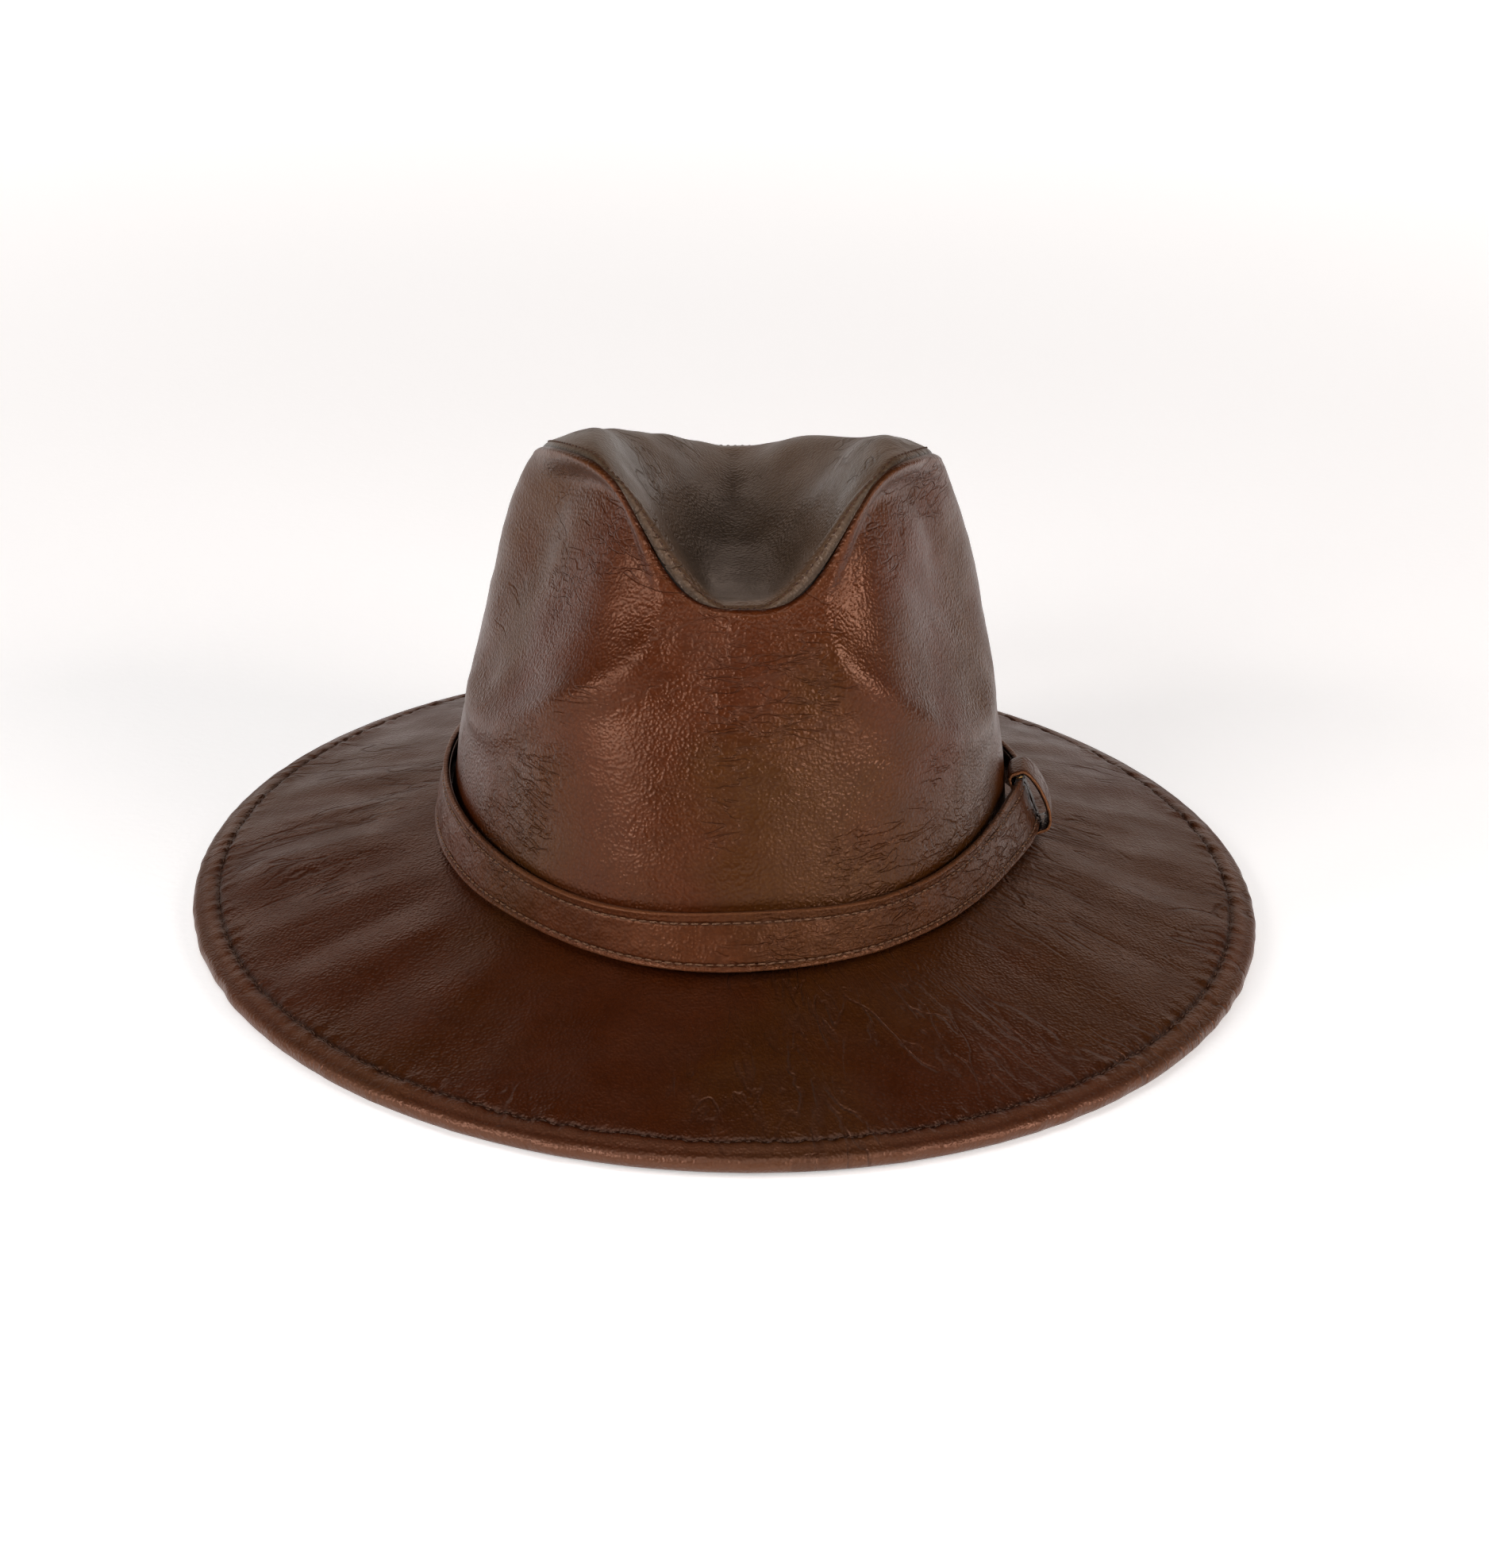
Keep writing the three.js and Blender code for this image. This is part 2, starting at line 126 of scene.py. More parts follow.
def signed_volume(mesh):
    """Six times the enclosed volume, negative if the faces point inwards."""
    mesh.calc_loop_triangles()
    points = np.empty(len(mesh.vertices) * 3)
    mesh.vertices.foreach_get("co", points)
    corners = np.empty(len(mesh.loop_triangles) * 3, dtype=np.int32)
    mesh.loop_triangles.foreach_get("vertices", corners)
    a, b, c = points.reshape(-1, 3)[corners.reshape(-1, 3)].transpose(1, 0, 2)
    return float(np.einsum("ij,ij->", a, np.cross(b, c)))


def quads(rows, size, ring):
    """Faces between rows of closed loops of the same size; ring joins the last row to the first."""
    row = np.arange(rows if ring else rows - 1)[:, None]
    i = np.arange(size)[None, :]
    here, ahead = row * size, ((row + 1) % rows) * size
    j = (i + 1) % size
    return np.stack([here + i, here + j, ahead + j, ahead + i], -1).reshape(-1, 4).tolist()


def sweep(name, loops, materials, ring=True, wear_and_painted_shading=None, flow=None):
    """A solid swept through loops, an array of (rows, size, 3). A strip gets flat ends."""
    rows, size = loops.shape[:2]
    faces = quads(rows, size, ring)
    if not ring:
        last = (rows - 1) * size
        faces += [list(range(size))[::-1], list(range(last, last + size))]
    wear_and_painted_shading = None if wear_and_painted_shading is None else wear_and_painted_shading.ravel()
    flow = None if flow is None else flow.reshape(-1, 3)
    return make_mesh(name, loops.reshape(-1, 3), faces, materials, wear_and_painted_shading, flow=flow)


def shell(outer, inner):
    """Joins two skins, each (rows, size, 3), into loops that go out along one and back along the other."""
    return np.concatenate([outer, inner[:, ::-1]], axis=1)


# ---- crown -------------------------------------------------------
def outward(a):
    """Unit vector square to the head's oval, level."""
    n = stack(np.sin(a) / HEAD_X, -np.cos(a) / HEAD_Y, 0.0 * a)
    return n / np.linalg.norm(n, axis=-1, keepdims=True)


def seam_height(a):
    """Height above the brim of the seam between the crown's side and its tip."""
    y = TIP_SHIFT - TIP_Y * np.cos(a)
    dip = FRONT_DIP * np.exp(-(np.abs(folded(a) / DIP_ANGLE) ** 3.5))
    return CREST - BACK_DROP * smooth(y, -60, 92) - dip


# The finger dents at the front corners: the middle of each, its half size in degrees and in t, by how many
# degrees it leans forward from foot to head, its depth, and the height of the ridge beside it
DENTS = [
    {"side": -1, "angle": 59, "t": 0.74, "wide": 36, "tall": 0.42, "lean": 28, "depth": 13.5, "ridge": 2.2},
    {"side": 1, "angle": 57, "t": 0.74, "wide": 34, "tall": 0.42, "lean": 24, "depth": 11.0, "ridge": 1.6},
]


def dent_depth(a, t):
    """How far the crown is pressed in at the dents, less the ridge round each one's front and lower side."""
    total = 0.0
    for dent in DENTS:
        middle = dent["angle"] - dent["lean"] * (t - dent["t"])
        across = (np.degrees(folded(a)) * dent["side"] - middle) / dent["wide"]
        along = (t - dent["t"]) / dent["tall"]
        out = np.hypot(across, along)
        below_seam = 1 - smooth(t, 0.84, 1.0)
        facing = smooth(-across - 0.9 * along, -0.1, 0.7)
        crisp = 1 - out**2.2
        crisp = 0.5 * (crisp + np.sqrt(crisp**2 + 0.07**2))
        soft = 1 - smooth(out, 0.3, 1.06)
        total = total + dent["depth"] * (soft + (crisp - soft) * facing) * below_seam
        total = total - dent["ridge"] * bell(out - 1.04, 0.1) * facing * (1 - smooth(t, 0.72, 0.96))
    return total


def sway(a):
    """How far the soft crown stands out past its oval near the band: most at left front, tight at right."""
    d = np.degrees(folded(a))
    right = 1.4 * bell(d - 25, 18) - 1.6 * bell(d - 63, 18) + 2.2 * bell(d - 92, 12)
    return 6.6 * bell(d + 24, 25) + right - 1.2


def side_surface(a, t):
    """The crown's side without its fine creases."""
    height = seam_height(a)
    foot = stack(HEAD_X * np.sin(a), -HEAD_Y * np.cos(a), 0.0 * t)
    seam = stack(TIP_X * np.sin(a), TIP_SHIFT - TIP_Y * np.cos(a), height + 0.0 * t)
    side = np.sin(a) ** 2
    low = foot * (1 - 0.07 * side - 0.035 * (1 - side))[..., None]
    high = seam * (1.15 + 0.09 * side)[..., None]
    low[..., 2] = 0.37 * height
    high[..., 2] = 0.86 * height
    u = t[..., None]
    curve = (1 - u) ** 3 * foot + 3 * (1 - u) ** 2 * u * low + 3 * (1 - u) * u * u * high + u**3 * seam
    share = smooth(t, 0, 0.12) * (1 - smooth(t, 0.2, 0.85))
    return curve + outward(a) * (sway(a) * share)[..., None]


def side_point(a, t, inset=0.0, detail=1.0):
    """A point of the crown's side: t is 0 at the brim and 1 at the tip seam, inset is measured inwards."""
    a, t = np.broadcast_arrays(np.asarray(a, float), np.asarray(t, float))
    p = side_surface(a, t)
    p = p - outward(a) * (inset + dent_depth(a, t))[..., None]
    calm = smooth(t, 0.0, 0.25) * (1 - smooth(t, 0.97, 1.0))
    waves = 0.42 * ripple(p, 42, 11) + 0.07 * ripple(p * [1, 1, 1.8], 14, 12)
    p = p + outward(a) * (detail * calm * waves)[..., None]
    p[..., 2] += BASE_Z
    return p


SEAM_DEPTH = 0.9
TIP_INSET = SEAM_DEPTH + 0.25  # the tip's rim lies this far inside the crown's outer face


def seam_groove(distance):
    """How far a surface turns in at a sewn seam, and puffs out beside it, by the distance from the seam."""
    return SEAM_DEPTH * np.exp(-distance / 0.6) - 0.25 * bell(distance - 2.6, 1.8)


VALLEY_Y = np.array([-95.0, -78, -62, -34, 0, 30, 50, 64, 80, 95])
VALLEY_Z = np.array([97.0, 95.5, 92.5, 90.0, 91, 95, 100, 102.0, 96, 90])


def valley_height(y):
    """The floor of the dent from front to back, smoothed between listed heights."""
    offsets = np.linspace(-9, 9, 7)
    weights = bell(offsets, 6)
    rows = [np.interp(y + o, VALLEY_Y, VALLEY_Z) * w for o, w in zip(offsets, weights)]
    return sum(rows) / weights.sum()


SWELL_FRONT, SWELL_BACK = 10.0, 12.0  # how far the tip would bulge above its rim without its dent
DENT_FRONT, DENT_BACK = 45.0, 21.0  # half width of the dent


def tip_height(x, y):
    """The tip: a low dome on its rim, with a dent from front to back that narrows towards the back."""
    a = np.arccos(np.clip((TIP_SHIFT - y) / TIP_Y, -1, 1))
    rim_x = TIP_X * np.sin(a)
    inside = np.clip(1 - (x / TIP_X) ** 2 - ((y - TIP_SHIFT) / TIP_Y) ** 2, 0, 1)
    swell = SWELL_FRONT + (SWELL_BACK - SWELL_FRONT) * smooth(y, -30, 55)
    dome = seam_height(a) + swell * inside**0.8
    width = np.minimum(DENT_FRONT + (DENT_BACK - DENT_FRONT) * smooth(y, -5, 62), 1.03 * rim_x + 1)
    share = np.abs(x) / width
    valley = np.minimum(valley_height(y), dome)
    floor = 0.14 - 0.2 * smooth(y, -30, 30)
    return BASE_Z + valley + (dome - valley) * smooth(share, floor, 1.0)


def tip_point(a, r, drop=0.0, detail=1.0):
    """A point of the tip: r runs from 0 in the middle to 1 at the rim, just inside the crown's side."""
    a, r = np.broadcast_arrays(np.asarray(a, float), np.asarray(r, float))
    rim = side_point(a, np.ones_like(a), TIP_INSET, 0.0)
    x = rim[..., 0] * r
    y = TIP_SHIFT + (rim[..., 1] - TIP_SHIFT) * r
    from_rim = (1 - r) * np.hypot(rim[..., 0], rim[..., 1] - TIP_SHIFT)
    lip = 2.0 * (from_rim / 6) * np.exp(1 - from_rim / 6) * bell(folded(a), np.radians(26))
    p = stack(x, y, tip_height(x, y) + lip - drop)
    calm = smooth(from_rim, 0.5, 9)
    p[..., 2] += detail * calm * (0.7 * ripple(p, 40, 21) + 0.16 * ripple(p * [1, 0.6, 1], 13, 22))
    return p


def ring_angles(count):
    return np.linspace(0, TURN, count, endpoint=False)


def side_levels(count, dense):
    """Rows up the crown's side, closer together towards the seam."""
    u = np.linspace(0, 1, count)
    return 1 - (1 - u) ** dense


def crown_wall(material):
    """The crown's side: puffed beside the tip seam and back seam; painted shade behind the band and in the
    tip seam.
    """
    a = ring_angles(420)[:, None]
    t = side_levels(110, 1.7)[None, :]
    outer = side_point(a, t)
    distance = (1 - t) * SIDE_RISE
    outer -= outward(a + 0 * t) * seam_groove(distance)[..., None]
    back = np.abs(folded(a - np.pi)) * BACK_RADIUS
    outer -= outward(a + 0 * t) * (0.9 * np.exp(-back / 0.8) - 0.35 * bell(back - 2.6, 1.8))[..., None]
    inner = side_point(a, t, np.maximum(LEATHER, seam_groove(distance) + 0.15))
    foot_out, foot_in = outer[:, :1].copy(), inner[:, :1].copy()
    foot_out[..., 2] -= FOOT
    foot_in[..., 2] -= FOOT
    loops = shell(np.concatenate([foot_out, outer], 1), np.concatenate([foot_in, inner], 1))
    # Lighter where rubbed on the puffs beside the seams; painted shade darkens the tip seam's groove.
    rub_and_painted_shading = 0.25 * bell(distance - 3.2, 2.4) + 0.25 * bell(back - 2.6, 1.8) - 0.7 * bell(distance, 0.8)
    # Painted shade: darkened below the band's top, for the shadow in the gap behind the hatband.
    rub_and_painted_shading = rub_and_painted_shading - 0.85 * (1 - smooth(outer[..., 2] - BASE_Z, BAND_HEIGHT - 2, BAND_HEIGHT + 0.6))
    rub_and_painted_shading = np.concatenate([rub_and_painted_shading[:, :1], rub_and_painted_shading], 1)
    return sweep("crown_wall", loops, [material], wear_and_painted_shading=np.concatenate([rub_and_painted_shading, 0 * rub_and_painted_shading], 1))


def disc(name, rim_angles, levels, top, bottom, materials, wear_and_painted_shading=None):
    """A closed plate from two functions of (angles, r): rings from the middle over the rim and back."""
    a = rim_angles[None, :]
    r = levels[1:, None]
    rings = np.concatenate([top(a, r), bottom(a, r)[::-1]], 0)
    size = len(rim_angles)
    rows = rings.shape[0]
    points = rings.reshape(-1, 3)
    poles = np.stack([top(a, np.zeros((1, 1)))[0, 0], bottom(a, np.zeros((1, 1)))[0, 0]])
    faces = quads(rows, size, False)
    first, last = rows * size, rows * size + 1
    base = (rows - 1) * size
    for i in range(size):
        j = (i + 1) % size
        faces.append([first, j, i])
        faces.append([last, base + i, base + j])
    amount = None
    if wear_and_painted_shading is not None:
        rub_and_painted_shading = wear_and_painted_shading(a, r)
        amount = np.concatenate([rub_and_painted_shading, rub_and_painted_shading[::-1] * 0], 0).ravel()
        amount = np.concatenate([amount, [0, 0]])
    return make_mesh(name, np.concatenate([points, poles]), faces, materials, amount)


def rim_distance(a, r):
    """Distance of a point of the tip from its rim."""
    return (1 - r) * np.hypot(TIP_X * np.sin(a), TIP_Y * np.cos(a))


def crown_top(material):
    """The tip, its rim turned in along the seam."""

    def top(a, r):
        p = tip_point(a, r)
        p[..., 2] -= seam_groove(rim_distance(a, r)) * 0.9
        return p

    def bottom(a, r):
        return tip_point(a, r, LEATHER)

    def rub_and_painted_shading(a, r):
        # Painted light: a browner strip just inside the rim, where its shoulder is lit; painted shade darkens
        # the seam's groove.
        distance = rim_distance(a, r)
        return 0.7 * bell(distance - 3.0, 3.4) - 0.9 * bell(distance, 0.8)

    return disc("crown_top", ring_angles(360), side_levels(80, 1.5), top, bottom, [material], rub_and_painted_shading)


# ---- brim --------------------------------------------------------
BRIM_CENTRE = BRIM_WIDTH - EDGE_ROLL
HEM_LINE = BRIM_WIDTH - 8
UNDER_LEATHER = 1.0
UNDER_TOP = -LEATHER - STIFFENER - 2 * AIR  # its upper face, seen from the brim's upper face


def brim_height(s):
    """Height of the brim's upper face, s outwards from the crown, before its waves."""
    return BASE_Z - (BASE_Z - 2 * EDGE_ROLL) * np.clip(s / BRIM_CENTRE, 0, 1) ** 1.12


def brim_wave(a, s):
    """The slight drape of the brim: soft folds that run outwards, and fade before the crown and the edge."""
    flat = unrolled(a, s, 150, 0.25)
    fade = smooth(s, 4, 30) * (1 - smooth(s, 52, 74))
    return fade * (0.8 * ripple(flat, 50, 31) + 0.12 * ripple(flat, 15, 32))


def brim_lift(a, s):
    """The brim's front and right edges rise very slightly off the table."""
    rise = 1.4 * bell(folded(a), 0.95) + 1.6 * bell(folded(a) - 1.4, 0.8)
    return rise * np.clip(s / BRIM_WIDTH, 0, 1.1) ** 2


def brim_point(a, s, h, detail=1.0):
    """A point of the brim at s outwards from the crown and h above the brim's upper face."""
    a, s, h = np.broadcast_arrays(np.asarray(a, float), np.asarray(s, float), np.asarray(h, float))
    z = brim_height(s) + h + brim_lift(a, s) + detail * brim_wave(a, s)
    return stack((HEAD_X + s) * np.sin(a), -(HEAD_Y + s) * np.cos(a), z)


def hem_relief(a, s):
    """The stitched groove near the brim's edge, the padding outside it and the small puckers across it."""
    groove = -0.5 * bell(s - HEM_LINE, 0.7)
    puff = 0.35 * bell(s - HEM_LINE - 3.2, 2.2) + 0.15 * bell(s - HEM_LINE + 3.0, 2.4)
    around = unrolled(a, s, 170, 0.35)
    pucker = 0.3 * ripple(around, 4.2, 33) * bell(s - HEM_LINE, 4.5)
    return groove + puff + pucker


def brim_top(material):
    """The brim's upper leather: stitched hem, rolled edge and turned-under lip."""
    a = ring_angles(840)[:, None]
    inside, outside = np.linspace(AIR, HEM_LINE - 4, 46), np.linspace(HEM_LINE - 3.6, BRIM_CENTRE, 24)
    s = np.concatenate([inside, outside])[None, :]
    outer = brim_point(a, s, 0)
    outer[..., 2] += hem_relief(a, s)
    inner = brim_point(a, s, -LEATHER)
    turn = np.linspace(0, np.pi, 15)[1:][None, :]
    lip = BRIM_CENTRE - EDGE_LIP
    around = unrolled(a, 0 * turn, 180, 0)
    swell = 1 + 0.07 * ripple(around, 9, 34) * np.sin(turn)

    def roll(radius):
        return brim_point(a, BRIM_CENTRE + radius * swell * np.sin(turn), -EDGE_ROLL + radius * np.cos(turn))

    def lip_end(z):
        p = brim_point(a, lip, 0, 0.0)
        p[..., 2] = z + brim_lift(a, lip)
        return p

    outer = np.concatenate([outer, roll(EDGE_ROLL), lip_end(0.0)], 1)
    inner = np.concatenate([inner, roll(EDGE_ROLL - LEATHER), lip_end(LEATHER)], 1)
    # The puff outside the hem is rubbed lighter; painted shade darkens the hem's groove.
    hem = 0.35 * bell(s - HEM_LINE - 3.4, 1.8) - 0.8 * bell(s - HEM_LINE, 0.9)
    # The roll is rubbed lighter and carries a painted highlight along it.
    rub_and_painted_shading = np.concatenate([hem + 0 * a, 0.5 * np.sin(turn) + 0 * a, 0 * a], 1)
    wear_and_painted_shading = np.concatenate([rub_and_painted_shading, 0 * rub_and_painted_shading], 1)
    out = np.concatenate([s, BRIM_WIDTH + 3 * turn / np.pi, [[BRIM_WIDTH + 5]]], 1)
    out = np.concatenate([out, out[:, ::-1]], 1)
    flow = unrolled(a, out, 150, 0.36)
    return sweep("brim_top", shell(outer, inner), [material], wear_and_painted_shading=wear_and_painted_shading, flow=flow)


def brim_layer(name, top, bottom, start, end, rows, materials, count, relief=None):
    """A layer of the brim between two heights below its upper face, with a relief on its lower side."""
    a = ring_angles(count)[:, None]
    s = np.linspace(start, end, rows)[None, :]
    upper, lower = brim_point(a, s, top), brim_point(a, s, bottom)
    if relief is not None:
        lower[..., 2] += relief(a, s)
    return sweep(name, shell(upper, lower), materials)


# ---- hatband -----------------------------------------------------
BAND_START, BAND_END = KEEPER_ANGLE + np.radians(0.2), KEEPER_ANGLE + np.radians(359.8)


def band_edges(a):
    """How far the band's inner face stands off the head oval at its top and at its bottom edge."""
    d = np.degrees(folded(a))
    top = sway(a) - CROWN_LEAN + BAND_GAP + 1.8 * bell(d - 90, 11)
    bottom = 0.5 + 7.2 * bell(d + 6, 25) + 1.6 * bell(d + 60, 26) + 8 * bell(d - 90, 17)
    return top, bottom


def band_point(a, w, out):
    """A point of the band: w runs up its height from 0 to 1, out is square to its leaning inner face."""
    a, w, out = np.broadcast_arrays(np.asarray(a, float), np.asarray(w, float), np.asarray(out, float))
    n = outward(a)
    top, bottom = band_edges(a)
    p = stack(HEAD_X * np.sin(a), -HEAD_Y * np.cos(a), BASE_Z + BAND_FOOT + w * BAND_HEIGHT)
    p = p + n * (bottom + (top - bottom) * w)[..., None]
    return p + band_normal(a) * out[..., None]


def band_normal(a):
    """Unit vector square to the band's leaning inner face."""
    top, bottom = band_edges(a)
    lean = outward(a) + stack(0 * a, 0 * a, (bottom - top) / BAND_HEIGHT)
    return lean / np.linalg.norm(lean, axis=-1, keepdims=True)


BACKING = 0.5
STRAP_IN = BACKING + AIR
STRAP_OUT = STRAP_IN + LEATHER
STITCH_ROWS = (0.13, 0.81)


def strap_section(count):
    """Loop of (w, out) round the strap: flat back, folded round edges, a face sunk along its stitch rows."""
    u = np.linspace(0, 1, count)
    face = STRAP_OUT + 0.35 * (bell(u - 0.035, 0.05) + bell(u - 0.965, 0.05)) + 0.12 * np.sin(np.pi * u)
    for row in STITCH_ROWS:
        face = face - 0.42 * bell(u - row, 0.028)
    ends = np.clip(np.minimum(u, 1 - u) / 0.035, 0, 1)
    face = STRAP_IN + (face - STRAP_IN) * np.sqrt(1 - (1 - ends) ** 2)
    back_w = u[::-1][1:-1]
    back_out = np.full_like(back_w, STRAP_IN)
    return np.concatenate([u, back_w]), np.concatenate([face, back_out])


def band_sag(points):
    """The slight rise and fall of the band on its way round."""
    return 0.3 * ripple(points * [1, 1, 0], 60, 43)


def hatband_leather(material):
    """The strap, cut through where its ends meet inside the keeper."""
    count = 60
    w, out = strap_section(count)
    a = np.linspace(BAND_START, BAND_END, 560)[:, None]
    p = band_point(a, w[None, :], out[None, :])
    is_face = (np.arange(len(w)) < count)[None, :]
    dimples = bell(w[None, :] - 0.5, 0.42) * (0.16 * ripple(p, 14, 41) + 0.1 * ripple(p, 5, 42))
    p += outward(a + 0 * w) * (is_face * dimples)[..., None]
    p[..., 2] += band_sag(p)
    edges = bell(w - 0.01, 0.03) + bell(w - 0.99, 0.03)
    rows = bell(w - STITCH_ROWS[0], 0.03) + bell(w - STITCH_ROWS[1], 0.03)
    # Edges rubbed lighter; painted shade darkens the grooves of the stitch rows.
    wear_and_painted_shading = is_face * (0.6 * edges - 0.7 * rows)[None, :] + 0 * a
    return sweep("hatband_leather", p, [material], ring=False, wear_and_painted_shading=wear_and_painted_shading)


def hatband_lining(material):
    """The black backing, a little narrower than the strap."""
    w, out = np.array([[0.04, BACKING], [0.96, BACKING], [0.96, 0.0], [0.04, 0.0]]).T
    a = np.linspace(BAND_START, BAND_END, 300)[:, None]
    p = band_point(a, w[None, :], out[None, :])
    return sweep("hatband_lining", p, [material], ring=False)


# ---- stitches ----------------------------------------------------
def capsule(radius, length, sides=7, rings=5):
    """Rings of points round the x axis, with closed ends: one stitch, as a row of loops and two poles."""
    u = np.linspace(-1, 1, rings)
    x = u * length / 2
    r = radius * np.sqrt(np.clip(1 - np.abs(u) ** 4 * 0.75, 0, 1))
    turn = ring_angles(sides)
    loops = stack(x[:, None] + 0 * turn, r[:, None] * np.cos(turn), r[:, None] * np.sin(turn))
    poles = np.array([[-length / 2 - radius * 0.4, 0, 0], [length / 2 + radius * 0.4, 0, 0]])
    return loops.reshape(-1, 3), poles, quads(rings, sides, False), sides, rings


def stitches(name, path, normals, pitch, length, radius, material, bow=0.12, seed=5):
    """Separate stitches laid along a path. Each one dips at its ends, where thread enters the leather."""
    rng = np.random.default_rng(seed)
    step = np.linalg.norm(np.diff(path, axis=0), axis=1)
    along = np.concatenate([[0], np.cumsum(step)])
    count = int(along[-1] / pitch)
    centres = (np.arange(count) + 0.5) * along[-1] / count
    local, poles, faces, sides, rings = capsule(radius, length)
    first, last = len(local), len(local) + 1
    base = (rings - 1) * sides
    faces = faces + [[first, (i + 1) % sides, i] for i in range(sides)]
    faces = faces + [[last, base + i, base + (i + 1) % sides] for i in range(sides)]
    local = np.concatenate([local, poles])
    points, all_faces = [], []

    def at(s, values):
        return np.stack([np.interp(s, along, values[:, k]) for k in range(3)], -1)

    for n, s in enumerate(centres):
        x_axis = at(s + 0.5, path) - at(s - 0.5, path)
        x_axis /= np.linalg.norm(x_axis)
        up = at(s, normals)
        up -= x_axis * (up @ x_axis)
        up /= np.linalg.norm(up)
        side = np.cross(up, x_axis)
        skew = rng.normal(0, 0.05)
        x_axis, side = x_axis + side * skew, side - x_axis * skew
        sink = bow * (2 * local[:, 0] / length) ** 2 * 2.2
        shape = local[:, :1] * x_axis + local[:, 1:2] * side + (local[:, 2:3] - sink[:, None]) * up
        points.append(at(s, path) + shape)
        offset = n * len(local)
        all_faces += [[offset + i for i in f] for f in faces]
    return make_mesh(name, np.concatenate(points), all_faces, [material])


def path_normals(surface, params):
    """Normals of a surface, a function of two parameters, along rows of those parameters."""
    u, v = params
    p = surface(u, v)
    along_u = surface(u + 1e-3, v) - p
    along_v = surface(u, v + 1e-3) - p
    n = np.cross(along_u, along_v)
    n /= np.linalg.norm(n, axis=-1, keepdims=True)
    away = stack(p[..., 0], p[..., 1], np.full(p.shape[:-1], 60.0))
    flip = np.sign(np.einsum("ij,ij->i", n, away))
    return n * flip[:, None]


def closed_angles(count):
    return np.linspace(0, TURN, count)


def tip_stitches(material):
    """One row on the tip, just inside its seam."""
    from_seam = 1.9
    a = closed_angles(1400)
    r = 1 - from_seam / np.hypot(TIP_X * np.sin(a), TIP_Y * np.cos(a))
    path = tip_point(a, r)
    path[:, 2] -= seam_groove(np.full_like(a, from_seam)) * 0.9
    normals = path_normals(lambda u, v: tip_point(u, v, 0, 0.0), (a, r))
    return stitches("tip_seam_stitches", path + normals * 0.14, normals, 2.3, 1.65, 0.24, material)


def back_stitches(material):
    """A row on each side of the crown's back seam."""
    t = np.linspace(0.15, 0.985, 400)
    rows = []
    for k, side in enumerate((-1, 1)):
        a = np.pi + side * 2.15 / BACK_RADIUS + 0 * t
        path = side_point(a, t) + outward(a) * 0.2
        rows.append(stitches(f"back_seam_stitches_{k}", path, outward(a), 2.6, 1.9, 0.25, material))
    return join("back_seam_stitches", rows)


def hem_stitches(material):
    """The row round the brim's edge, as it shows above and below."""
    a = closed_angles(2400)
    s = np.full_like(a, HEM_LINE)
    path = brim_point(a, s, -0.62)
    path[:, 2] += hem_relief(a, s) + 0.72
    up = np.tile([0.0, 0.0, 1.0], (len(a), 1))
    top = stitches("hem_stitches_top", path, up, 2.9, 2.1, 0.26, material, seed=6)
    under = brim_point(a, s, UNDER_TOP - UNDER_LEATHER - 0.12)
    bottom = stitches("hem_stitches_under", under, -up, 2.9, 2.1, 0.26, material, seed=7)
    return join("hem_stitches", [top, bottom])


def band_stitches(name, w, material, seed):
    """A row along the band at w up its height."""
    a = np.linspace(BAND_START + np.radians(1), BAND_END - np.radians(1), 1700)
    normals = band_normal(a)
    path = band_point(a, w, STRAP_OUT - 0.1)
    path[:, 2] += band_sag(path)
    return stitches(name, path, normals, 3.0, 2.15, 0.3, material, seed=seed)


def sweatband_stitches(material):
    """The row that holds the sweatband, near its foot."""
    a = closed_angles(1200)
    path = side_point(a, np.full_like(a, 0.035), SWEAT_IN + SWEATBAND + 0.1, 0.0)
    return stitches("sweatband_stitches", path, -outward(a), 2.8, 2.0, 0.26, material)


def join(name, objects):
    """One object from several, under the first one's material."""
    points, faces = [], []
    for o in objects:
        offset = len(points)
        points += [v.co / MM for v in o.data.vertices]
        faces += [[offset + i for i in p.vertices] for p in o.data.polygons]
    material = objects[0].data.materials[0]
    for o in objects:
        bpy.data.objects.remove(o, do_unlink=True)
    return make_mesh(name, [tuple(p) for p in points], faces, [material])


# ---- inside ------------------------------------------------------
PAD_IN = LEATHER + AIR
LINING_IN = PAD_IN + PADDING + AIR
SWEAT_IN = LINING_IN + LINING + AIR


def side_shell(name, inset, thickness, top, foot, count, rows, material, wrinkle=0.0):
    """A layer inside the crown's side, up to t = top. wrinkle is the height of its soft folds."""
    a = ring_angles(count)[:, None]
    t = np.linspace(0, top, rows)[None, :]
    skins = []
    for depth in (inset, inset + thickness):
        p = side_point(a, t, depth)
        if wrinkle:
            around = unrolled(a, t, 90, 8)
            fold = np.abs(ripple(around, 16, 51)) * smooth(t, 0.12, 0.45) * wrinkle
            p = p - outward(a + 0 * t) * fold[..., None]
        low = p[:, :1].copy()
        low[..., 2] -= foot
        skins.append(np.concatenate([low, p], 1))
    return sweep(name, shell(*skins), [material])


def tip_shell(name, drop, thickness, reach, material):
    """A layer under the tip, out to a share of its rim."""

    def top(a, r):
        return tip_point(a, r, drop)

    def bottom(a, r):
        return tip_point(a, r, drop + thickness)

    return disc(name, ring_angles(160), np.linspace(0, reach, 34), top, bottom, [material])


